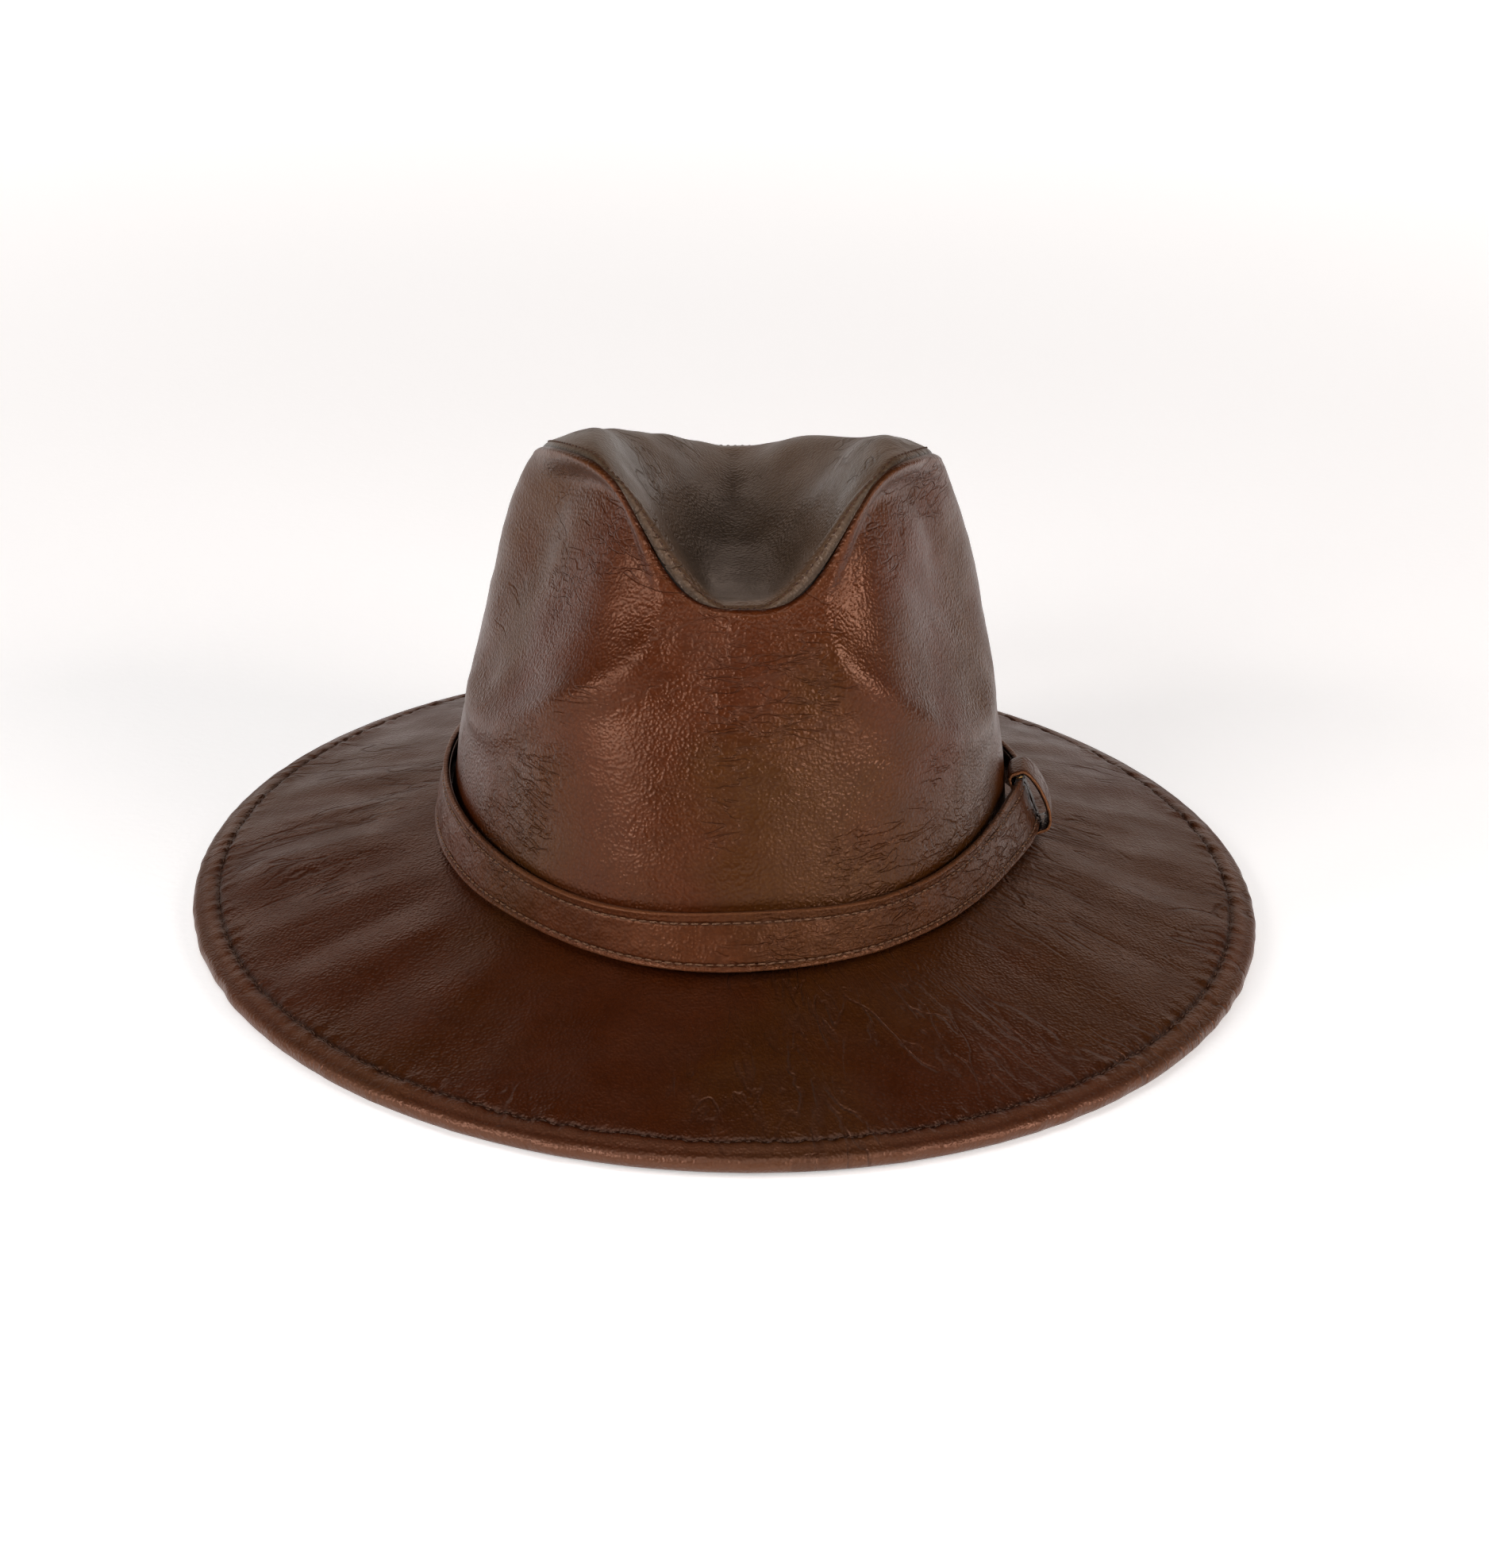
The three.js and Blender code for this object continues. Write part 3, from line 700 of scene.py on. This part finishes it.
def blank_label(material):
    """A small woven label at the back of the sweatband, a little bowed in its middle, with nothing on it."""
    a = np.pi + np.radians(np.linspace(-8, 8, 40))[:, None]
    w = np.linspace(0, 1, 12)
    inset = SWEAT_IN + SWEATBAND + AIR
    t = 0.08 + 0.13 * np.concatenate([w, w[::-1]])[None, :]
    bulge = 0.12 * np.sin(np.pi * w)
    depth = np.concatenate([inset + 0 * w, inset + 0.4 + bulge[::-1]])[None, :]
    return sweep("blank_label", side_point(a, t, depth, 0.0), [material], ring=False)


# ---- keeper ------------------------------------------------------
def keeper_matrix():
    """The keeper's own axes on the band: x up the band, y outwards, z along it."""
    bottom, top = band_point(KEEPER_ANGLE, 0, 0), band_point(KEEPER_ANGLE, 1, 0)
    up = (top - bottom) / np.linalg.norm(top - bottom)
    step = np.radians(1)
    along = band_point(KEEPER_ANGLE + step, 0.5, 0) - band_point(KEEPER_ANGLE - step, 0.5, 0)
    along[2] = 0
    along /= np.linalg.norm(along)
    out = np.cross(along, up)
    out /= np.linalg.norm(out)
    return np.stack([up, out, along]), (bottom + top) / 2


def keeper_outline(k, count=16):
    """Points round the keeper at a distance k outside the space it holds: flat behind, bowed in front."""
    low, high, back = -9.3 - k, 10.0 + k, -0.7 - k
    corner = 0.9 + k
    arc = np.linspace(0, np.pi / 2, count)
    right = stack(high - corner + corner * np.sin(arc), back + corner - corner * np.cos(arc))
    u = np.linspace(0, 1, 3 * count)[:, None]
    ends = [(high, 2.6), (high, 5.4 + 1.33 * k), (low, 7.9 + 1.33 * k), (low, 3.0)]
    weights = ((1 - u) ** 3, 3 * (1 - u) ** 2 * u, 3 * (1 - u) * u * u, u**3)
    front = sum(w * np.array(p) for w, p in zip(weights, ends))
    left = stack(low + corner - corner * np.cos(arc), back + corner - corner * np.sin(arc))
    return np.concatenate([right, front, left])


def keeper_ring(name, inner, outer, length, face, edge, crown=0.0):
    """A ring of flat strip between two distances outside the space it holds, its outer face crowned."""
    steps = 10
    z = np.linspace(-length / 2, length / 2, steps + 1)
    swell = crown * (1 - (2 * z / length) ** 2)
    section = [(outer + s, h) for h, s in zip(z, swell)] + [(inner, h) for h in z[::-1]]
    loops = []
    for k, h in section:
        outline = keeper_outline(k)
        loops.append(np.concatenate([outline, np.full((len(outline), 1), h)], 1))
    loops = np.stack(loops, axis=1)
    axes, origin = keeper_matrix()
    points = loops @ axes + origin
    rows, size = points.shape[:2]
    faces = quads(rows, size, True)
    slots = [int(i % size in (steps, size - 1)) for i in range(len(faces))]
    return make_mesh(name, points.reshape(-1, 3), faces, [face, edge], face_slots=slots)


# ---- materials ---------------------------------------------------
class Nodes:
    """Small helper to lay out one material's node tree."""

    def __init__(self, name, roughness, metallic=0.0, **shader_values):
        self.material = bpy.data.materials.new(name)
        self.material.use_nodes = True
        self.tree = self.material.node_tree
        self.shader = self.tree.nodes["Principled BSDF"]
        self.shader.inputs["Roughness"].default_value = roughness
        self.shader.inputs["Metallic"].default_value = metallic
        for socket, value in shader_values.items():
            self.shader.inputs[socket.replace("_", " ")].default_value = value
        self.coordinates = self.tree.nodes.new("ShaderNodeTexCoord").outputs["Object"]

    def link(self, source, target):
        self.tree.links.new(source, target)

    def place(self, value, socket):
        if isinstance(value, bpy.types.NodeSocket):
            self.link(value, socket)
        else:
            socket.default_value = value

    def scaled(self, x, y, z, source=None, turn=0.0):
        node = self.tree.nodes.new("ShaderNodeMapping")
        node.inputs["Rotation"].default_value = (turn, turn, 0)
        node.inputs["Scale"].default_value = (x, y, z)
        self.link(source or self.coordinates, node.inputs["Vector"])
        return node.outputs["Vector"]

    def noise(self, scale, detail=2.0, rough=0.5, vector=None, distortion=0.0):
        node = self.tree.nodes.new("ShaderNodeTexNoise")
        node.inputs["Scale"].default_value = scale
        node.inputs["Detail"].default_value = detail
        node.inputs["Roughness"].default_value = rough
        node.inputs["Distortion"].default_value = distortion
        self.link(vector or self.coordinates, node.inputs["Vector"])
        return node.outputs["Fac"]

    def cells(self, scale):
        node = self.tree.nodes.new("ShaderNodeTexVoronoi")
        node.feature = "SMOOTH_F1"
        node.inputs["Scale"].default_value = scale
        self.link(self.coordinates, node.inputs["Vector"])
        return node.outputs["Distance"]

    def weave(self, scale, direction):
        """Fine parallel threads that run across one axis."""
        node = self.tree.nodes.new("ShaderNodeTexWave")
        node.bands_direction = direction
        node.inputs["Scale"].default_value = scale
        node.inputs["Distortion"].default_value = 1.5
        self.link(self.coordinates, node.inputs["Vector"])
        return node.outputs["Fac"]

    def math(self, operation, a, b=0.0, clamp=False):
        node = self.tree.nodes.new("ShaderNodeMath")
        node.operation = operation
        node.use_clamp = clamp
        self.place(a, node.inputs[0])
        self.place(b, node.inputs[1])
        return node.outputs[0]

    def remap(self, value, low, high, to_low=0.0, to_high=1.0):
        node = self.tree.nodes.new("ShaderNodeMapRange")
        node.interpolation_type = "SMOOTHSTEP"
        self.link(value, node.inputs["Value"])
        for socket, number in zip(("From Min", "From Max", "To Min", "To Max"), (low, high, to_low, to_high)):
            node.inputs[socket].default_value = number
        return node.outputs["Result"]

    def mix(self, fac, a, b):
        """Blends two colours; each is a tuple or a socket."""
        node = self.tree.nodes.new("ShaderNodeMix")
        node.data_type = "RGBA"
        self.place(fac, node.inputs[0])
        self.place((*a, 1) if isinstance(a, tuple) else a, node.inputs[6])
        self.place((*b, 1) if isinstance(b, tuple) else b, node.inputs[7])
        return node.outputs[2]

    def attribute(self, name, output="Fac"):
        node = self.tree.nodes.new("ShaderNodeAttribute")
        node.attribute_name = name
        return node.outputs[output]

    def bump(self, height, distance, normal=None):
        """Relief by distance metres, on top of an earlier relief if normal is given."""
        node = self.tree.nodes.new("ShaderNodeBump")
        node.inputs["Strength"].default_value = 1.0
        node.inputs["Distance"].default_value = distance
        self.link(height, node.inputs["Height"])
        if normal is not None:
            self.link(normal, node.inputs["Normal"])
        return node.outputs["Normal"]

    def finish(self, color, roughness=None, normal=None):
        self.link(color, self.shader.inputs["Base Color"])
        if roughness is not None:
            self.link(roughness, self.shader.inputs["Roughness"])
        if normal is not None:
            self.link(normal, self.shader.inputs["Normal"])
        return self.material


# Families of wandering creases: noise scale, line width, where patches start and are full, depth, turn
CREASES = [
    (38, 0.022, 0.54, 0.6, 0.8, 0.35),
    (85, 0.045, 0.54, 0.62, 1.0, -0.3),
    (190, 0.07, 0.56, 0.7, 0.3, 0.2),
    (420, 0.12, 0.5, 0.7, 0.12, -0.45),
]


def leather(name, red, olive, worn_and_lit, roughness, crease=1.0, grain=1.0, squeeze=(1, 1, 2.6),
            tint=(1.0, 0.55, 0.36), gloss=0.42):
    """Grained, creased leather.

    red and olive drift into each other. The worn colour is that of rubbed leather and also painted light,
    along the tip's rim and the brim's roll; painted shade darkens seam grooves, the gap behind the band and
    the creases.
    crease and grain scale the relief, squeeze stretches the creases, and tint and gloss belong to the shine."""
    n = Nodes(name, roughness, Specular_IOR_Level=gloss, Specular_Tint=(*tint, 1))
    dark = tuple(c * share for c, share in zip(red, (0.35, 0.3, 0.3)))
    cloud = n.remap(n.noise(11, 3, 0.55), 0.4, 0.62)
    mottle = n.remap(n.noise(85, 4, 0.6), 0.3, 0.75, 0.0, 0.3)
    pebbles = n.cells(1150)
    color = n.mix(cloud, red, olive)
    color = n.mix(mottle, color, dark)
    color = n.mix(n.remap(pebbles, 0.25, 0.6, 0.0, 0.35 * grain), color, dark)
    wear_and_painted_shading = n.attribute("wear_and_painted_shading")
    color = n.mix(n.math("MULTIPLY", wear_and_painted_shading, 0.75, True), color, worn_and_lit)
    # Painted shade: negative amounts take the colour nearly to black.
    color = n.mix(n.math("MULTIPLY", wear_and_painted_shading, -1.0, True), color, tuple(c * 0.2 for c in dark))

    flow = n.attribute("flow", "Vector")
    creases = None
    for scale, width, low, high, weight, turn in CREASES:
        field = n.noise(scale, 2.5, 0.55, n.scaled(*squeeze, flow, turn), 0.6)
        line = n.remap(n.math("ABSOLUTE", n.math("SUBTRACT", field, 0.5)), 0.0, width, weight, 0.0)
        patch = n.remap(n.noise(15 + 0.03 * scale, 2, vector=n.scaled(1, 1.2, 0.9)), low, high)
        line = n.math("MULTIPLY", line, patch)
        creases = line if creases is None else n.math("MAXIMUM", creases, line)
    crinkle = n.noise(420, 3, 0.6, n.scaled(1, 1, 1.5, flow), 0.4)

    relief = n.math("SUBTRACT", n.math("MULTIPLY", crinkle, 0.2), creases)
    normal = n.bump(relief, 0.0004 * crease)
    normal = n.bump(pebbles, 0.00024 * grain, normal)
    # Painted shade: the creases are darkened as well as sunk.
    color = n.mix(n.math("MULTIPLY", creases, 0.3, True), color, dark)
    shine = n.math("ADD", n.remap(n.noise(60, 3), 0.3, 0.7, roughness - 0.05, roughness + 0.07),
                   n.math("MULTIPLY", creases, 0.1))
    return n.finish(color, shine, normal)


def cloth(name, dark, light, roughness, threads=1500):
    """A plain weave with slight slubs."""
    n = Nodes(name, roughness, Sheen_Weight=0.25)
    weave = n.math("MULTIPLY", n.weave(threads * 0.5, "X"), n.weave(threads * 0.5, "Z"))
    slub = n.noise(240, 3)
    tone = n.math("ADD", n.math("MULTIPLY", weave, 0.6), n.math("MULTIPLY", slub, 0.5), True)
    return n.finish(n.mix(tone, dark, light), n.remap(slub, 0.3, 0.7, roughness - 0.06, roughness + 0.06),
                    n.bump(weave, 0.0001))


def thread(name, dark, light):
    """Waxed twisted thread."""
    n = Nodes(name, 0.6, Specular_IOR_Level=0.3)
    twist = n.noise(2600, 2, vector=n.scaled(1, 1.4, 0.7))
    return n.finish(n.mix(n.remap(twist, 0.35, 0.65), dark, light), n.remap(twist, 0.3, 0.7, 0.5, 0.7),
                    n.bump(twist, 0.00015))


def metal(name, bright, dull, roughness):
    """Bare metal with tarnished patches and fine scratches."""
    n = Nodes(name, roughness, metallic=1.0)
    tarnish = n.noise(420, 4, 0.6)
    scratch = n.noise(900, 2, vector=n.scaled(1, 1, 7))
    return n.finish(n.mix(n.remap(tarnish, 0.45, 0.65), bright, dull),
                    n.remap(scratch, 0.3, 0.7, roughness - 0.08, roughness + 0.12), n.bump(scratch, 0.00003))


def raw_edge(name):
    """The cut edge of the keeper's leather: orange-brown, fibrous and matt."""
    n = Nodes(name, 0.75)
    fibre = n.noise(1500, 4, 0.7)
    return n.finish(n.mix(n.remap(fibre, 0.3, 0.7), (0.13, 0.045, 0.014), (0.3, 0.12, 0.04)), None,
                    n.bump(fibre, 0.00025))


def pale_floor(name):
    """A matt pale floor that glows a little more further out, so that it stays even."""
    n = Nodes(name, 0.85, Emission_Color=(1, 1, 1, 1))
    distance = n.tree.nodes.new("ShaderNodeVectorMath")
    distance.operation = "LENGTH"
    n.link(n.coordinates, distance.inputs[0])
    n.link(n.remap(distance.outputs["Value"], 0.4, 2.0, 0.42, 1.0), n.shader.inputs["Emission Strength"])
    color = n.mix(n.noise(3), (0.83, 0.88, 0.91), (0.87, 0.92, 0.95))
    return n.finish(color, None, n.bump(n.noise(300), 0.0001))


CROWN = leather("crown_leather", (0.064, 0.0140, 0.0028), (0.056, 0.0200, 0.0028), (0.12, 0.042, 0.014), 0.33,
                crease=0.75, tint=(1.0, 0.62, 0.45), gloss=0.45)
# Painted sheen: the tip's leather is lighter and greyer than the crown's, for the grey reflection over the
# tip.
TIP = leather("tip_leather", (0.078, 0.050, 0.031), (0.066, 0.050, 0.033), (0.06, 0.028, 0.010), 0.4,
              squeeze=(0.6, 1, 1.4), tint=(1.0, 0.9, 0.8))
BRIM = leather("brim_leather", (0.042, 0.0090, 0.0013), (0.041, 0.0125, 0.0014), (0.15, 0.07, 0.04), 0.38,
               squeeze=(1, 1, 1), tint=(1.0, 0.6, 0.45), gloss=0.6)
UNDER = leather("brim_under_leather", (0.034, 0.0105, 0.0045), (0.031, 0.0125, 0.0045), (0.1, 0.04, 0.02),
                0.5, crease=0.7)
STRAP = leather("strap_leather", (0.068, 0.0180, 0.0050), (0.058, 0.0200, 0.0048), (0.15, 0.062, 0.028), 0.36,
                crease=0.8)
BLACK = leather("black_patent", (0.006, 0.004, 0.004), (0.005, 0.004, 0.004), (0.02, 0.015, 0.012), 0.16,
                crease=0.2, grain=0.3, tint=(1.0, 0.8, 0.75), gloss=0.6)
SWEAT = leather("sweatband_leather", (0.028, 0.012, 0.007), (0.024, 0.012, 0.007), (0.06, 0.03, 0.018), 0.5,
                crease=0.4)
LINING_CLOTH = cloth("lining_satin", (0.008, 0.006, 0.005), (0.03, 0.022, 0.018), 0.45)
FELT = cloth("interlining", (0.5, 0.46, 0.4), (0.72, 0.68, 0.6), 0.9, 900)
LABEL = cloth("label_weave", (0.02, 0.014, 0.012), (0.07, 0.052, 0.04), 0.7, 2200)
TAN_THREAD = thread("tan_thread", (0.07, 0.032, 0.015), (0.17, 0.09, 0.048))
DARK_THREAD = thread("dark_thread", (0.018, 0.007, 0.003), (0.07, 0.03, 0.014))
BRASS = metal("brass_staple", (0.72, 0.5, 0.2), (0.35, 0.2, 0.07), 0.28)
STEEL = metal("wire_steel", (0.55, 0.55, 0.56), (0.3, 0.3, 0.31), 0.35)
EDGE = raw_edge("raw_leather_edge")


# ---- pieces ------------------------------------------------------
def piece(obj, body, slot, *nodes):
    """Puts a finished piece on its body and lets it stand for its CAD nodes."""
    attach(obj, body)
    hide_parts(*nodes)


def under_relief(a, s):
    """How far the underside is drawn up along the hem's stitches."""
    return 0.35 * bell(s - HEM_LINE, 0.9) - 0.1 * bell(s - HEM_LINE + 3, 2.5)


def wire(name, radius, count, sides, material):
    """The brim wire as a closed rod along the edge roll, with a small gap between its ends at the back."""
    a = np.linspace(-np.pi + 0.002, np.pi - 0.002, count)[:, None]
    turn = ring_angles(sides)[None, :]
    p = brim_point(a, BRIM_CENTRE + radius * np.cos(turn), -EDGE_ROLL + radius * np.sin(turn), 0.0)
    return sweep(name, p, [material], ring=False)


piece(crown_wall(CROWN), "hat", "crown_leather", "crown_side")
piece(crown_top(TIP), "hat", "tip_leather", "crown_tip")
piece(brim_top(BRIM), "hat", "brim_leather", "brim_upper")
under = brim_layer("brim_underside", UNDER_TOP, UNDER_TOP - UNDER_LEATHER, AIR, BRIM_CENTRE - 1.2, 60,
                   [UNDER], 420, under_relief)
piece(under, "hat", "brim_leather", "brim_under")
stiff = brim_layer("brim_board", -LEATHER - AIR, -LEATHER - AIR - STIFFENER, AIR, HEM_LINE - 2, 30,
                   [FELT], 240)
piece(stiff, "hat", "interlining", "brim_stiffener")
piece(wire("brim_edge_wire", 0.6, 400, 10, STEEL), "hat", "wire_steel", "brim_wire")

piece(side_shell("crown_padding", PAD_IN, PADDING, 0.9, FOOT, 160, 40, FELT), "hat", "interlining",
      "crown_side_interlining")
piece(tip_shell("tip_padding", PAD_IN, PADDING, 0.86, FELT), "hat", "interlining", "crown_tip_interlining")
side_lining = side_shell("crown_lining", LINING_IN, LINING, 0.965, FOOT, 300, 60, LINING_CLOTH, wrinkle=0.7)
piece(side_lining, "hat", "lining", "lining_side")
tip_lining = tip_shell("tip_lining", LINING_IN, LINING, 0.93, LINING_CLOTH)
piece(tip_lining, "hat", "lining", "lining_tip")
piece(side_shell("sweatband_leather", SWEAT_IN, SWEATBAND, 0.28, FOOT + 1, 300, 24, SWEAT), "hat",
      "sweatband_leather", "sweatband")
piece(blank_label(LABEL), "hat", "label", "size_label")

piece(tip_stitches(DARK_THREAD), "hat", "thread", "tip_seam_stitching")
piece(back_stitches(DARK_THREAD), "hat", "thread", "back_seam_stitching")
piece(hem_stitches(DARK_THREAD), "hat", "thread", "brim_edge_stitching")
piece(sweatband_stitches(TAN_THREAD), "hat", "thread", "sweatband_stitching")

piece(hatband_leather(STRAP), "hatband", "strap_leather", "hatband_strap")
piece(hatband_lining(BLACK), "hatband", "black_leather", "hatband_backing")
for row, w, seed in (("lower", STITCH_ROWS[0], 8), ("upper", STITCH_ROWS[1], 9)):
    row_of_stitches = band_stitches(f"band_stitches_{row}", w, TAN_THREAD, seed)
    piece(row_of_stitches, "hatband", "thread", f"hatband_stitching_{row}")

loop = keeper_ring("keeper_leather", 0.6, 1.4, KEEPER_LENGTH, STRAP, EDGE, 0.25)
piece(loop, "keeper", "strap_leather", "keeper_loop")
loop_lining = keeper_ring("keeper_gloss_lining", 0.15, 0.35, KEEPER_LENGTH - 0.6, BLACK, BLACK)
piece(loop_lining, "keeper", "black_leather", "keeper_lining")
for node, material in (("keeper_staple", BRASS), ("wire_ferrule", STEEL)):
    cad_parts[node].data.materials.clear()
    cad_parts[node].data.materials.append(material)


# ---- stage, light and camera -------------------------------------
FLOOR_SIZE = 14
WALL_RADIUS, WALL_HEIGHT, WALL_FOOT = 6.9, 8, -0.1


def add_floor():
    """A wide floor, and a round wall in the same finish that only the camera sees."""
    finish = pale_floor("pale_floor")
    bpy.ops.mesh.primitive_plane_add(size=FLOOR_SIZE, location=(0, 0, 0))
    floor = bpy.context.object
    floor.name = "floor"
    floor.data.materials.append(finish)
    bpy.ops.mesh.primitive_cylinder_add(vertices=96, radius=WALL_RADIUS, depth=WALL_HEIGHT,
                                        end_fill_type="NOTHING", location=(0, 0, WALL_FOOT + WALL_HEIGHT / 2))
    wall = bpy.context.object
    wall.name = "backdrop"
    wall.data.materials.append(finish)
    wall.visible_diffuse = wall.visible_glossy = wall.visible_shadow = False


# Rectangular lights: name, place, size, power, colour. All but the one overhead aim at the middle of the hat.
HAT_MIDDLE = (0, 0, 0.08)
LIGHTS = [
    ("key_left", (-1.3, -1.7, 1.1), (0.9, 0.7), 24, (1.0, 0.9, 0.86)),
    ("key_right", (1.5, -1.4, 1.0), (0.9, 0.7), 18, (1.0, 0.85, 0.79)),
    ("edge_left", (-1.8, -0.85, 1.0), (0.45, 0.45), 14, (1.0, 0.84, 0.78)),
    ("edge_right", (1.8, -0.85, 1.0), (0.45, 0.45), 11, (1.0, 0.8, 0.72)),
    ("top", (0, -0.9, 2.1), (1.6, 1.0), 12, (1, 1, 1)),
    ("back", (0.1, 2.2, 0.9), (3.0, 0.9), 5, (1.0, 0.72, 0.58)),
]


def add_light(name, place, size, power, color):
    aim = (0, 0, 0) if name == "top" else HAT_MIDDLE
    light = bpy.data.lights.new(name, "AREA")
    light.shape = "RECTANGLE"
    light.size, light.size_y = size
    light.energy = power
    light.color = color
    obj = bpy.data.objects.new(name, light)
    obj.location = place
    obj.rotation_euler = (Vector(aim) - Vector(place)).to_track_quat("-Z", "Y").to_euler()
    bpy.context.scene.collection.objects.link(obj)


# How bright the studio is by the direction's part along an axis: axis, from, to, factor at from and at to
STUDIO_RAMPS = [("Z", 0.2, 0.7, 0.35, 0.005), ("Y", -0.7, 0.2, 0.35, 1.0)]


def add_world():
    """A studio that is brightest low down behind the object, dimmer in front and nearly dark overhead."""
    world = bpy.data.worlds.new("studio")
    world.use_nodes = True
    tree = world.node_tree
    direction = tree.nodes.new("ShaderNodeTexCoord").outputs["Generated"]
    split = tree.nodes.new("ShaderNodeSeparateXYZ")
    tree.links.new(direction, split.inputs[0])
    product = tree.nodes.new("ShaderNodeMath")
    product.operation = "MULTIPLY"
    for k, (axis, *numbers) in enumerate(STUDIO_RAMPS):
        ramp = tree.nodes.new("ShaderNodeMapRange")
        tree.links.new(split.outputs[axis], ramp.inputs["Value"])
        for socket, number in zip(("From Min", "From Max", "To Min", "To Max"), numbers):
            ramp.inputs[socket].default_value = number
        tree.links.new(ramp.outputs["Result"], product.inputs[k])
    tree.nodes["Background"].inputs["Color"].default_value = (1.0, 0.88, 0.81, 1)
    tree.links.new(product.outputs[0], tree.nodes["Background"].inputs["Strength"])
    bpy.context.scene.world = world


FRAME_HEIGHT = 1975.0  # of the picture, in the pixels that the focal length is given in
FOCAL_PX = 4440.0
ELEVATION, AZIMUTH, ROLL = np.radians(21.95), np.radians(2.25), np.radians(1.66)
DISTANCE = 1.099
SENSOR = 36.0
TARGET = Vector((0, 0, 0.0575))
TARGET_OFFSET = (-19.0, 75.3)  # where the target shows, from the middle of the picture: right and up


def add_camera():
    """A camera that looks past the target, so that the target shows at its offset, with a slight roll."""
    level = np.cos(ELEVATION)
    back = Vector((-np.sin(AZIMUTH) * level, -np.cos(AZIMUTH) * level, np.sin(ELEVATION)))
    right = Vector((0, 0, 1)).cross(back).normalized()
    up = back.cross(right)
    spin = Matrix.Rotation(ROLL, 3, back)
    right, up = spin @ right, spin @ up
    aim = (-back * FOCAL_PX - right * TARGET_OFFSET[0] - up * TARGET_OFFSET[1]).normalized()
    right = (right - aim * right.dot(aim)).normalized()
    up = right.cross(aim)
    camera = bpy.data.cameras.new("camera")
    camera.sensor_width = SENSOR
    camera.lens = SENSOR * FOCAL_PX / FRAME_HEIGHT
    obj = bpy.data.objects.new("camera", camera)
    obj.matrix_world = Matrix((right, up, -aim)).transposed().to_4x4()
    obj.location = TARGET + back * DISTANCE
    bpy.context.scene.collection.objects.link(obj)
    bpy.context.scene.camera = obj


add_floor()
add_world()
for light in LIGHTS:
    add_light(*light)
add_camera()
bpy.context.scene.view_settings.view_transform = "Standard"
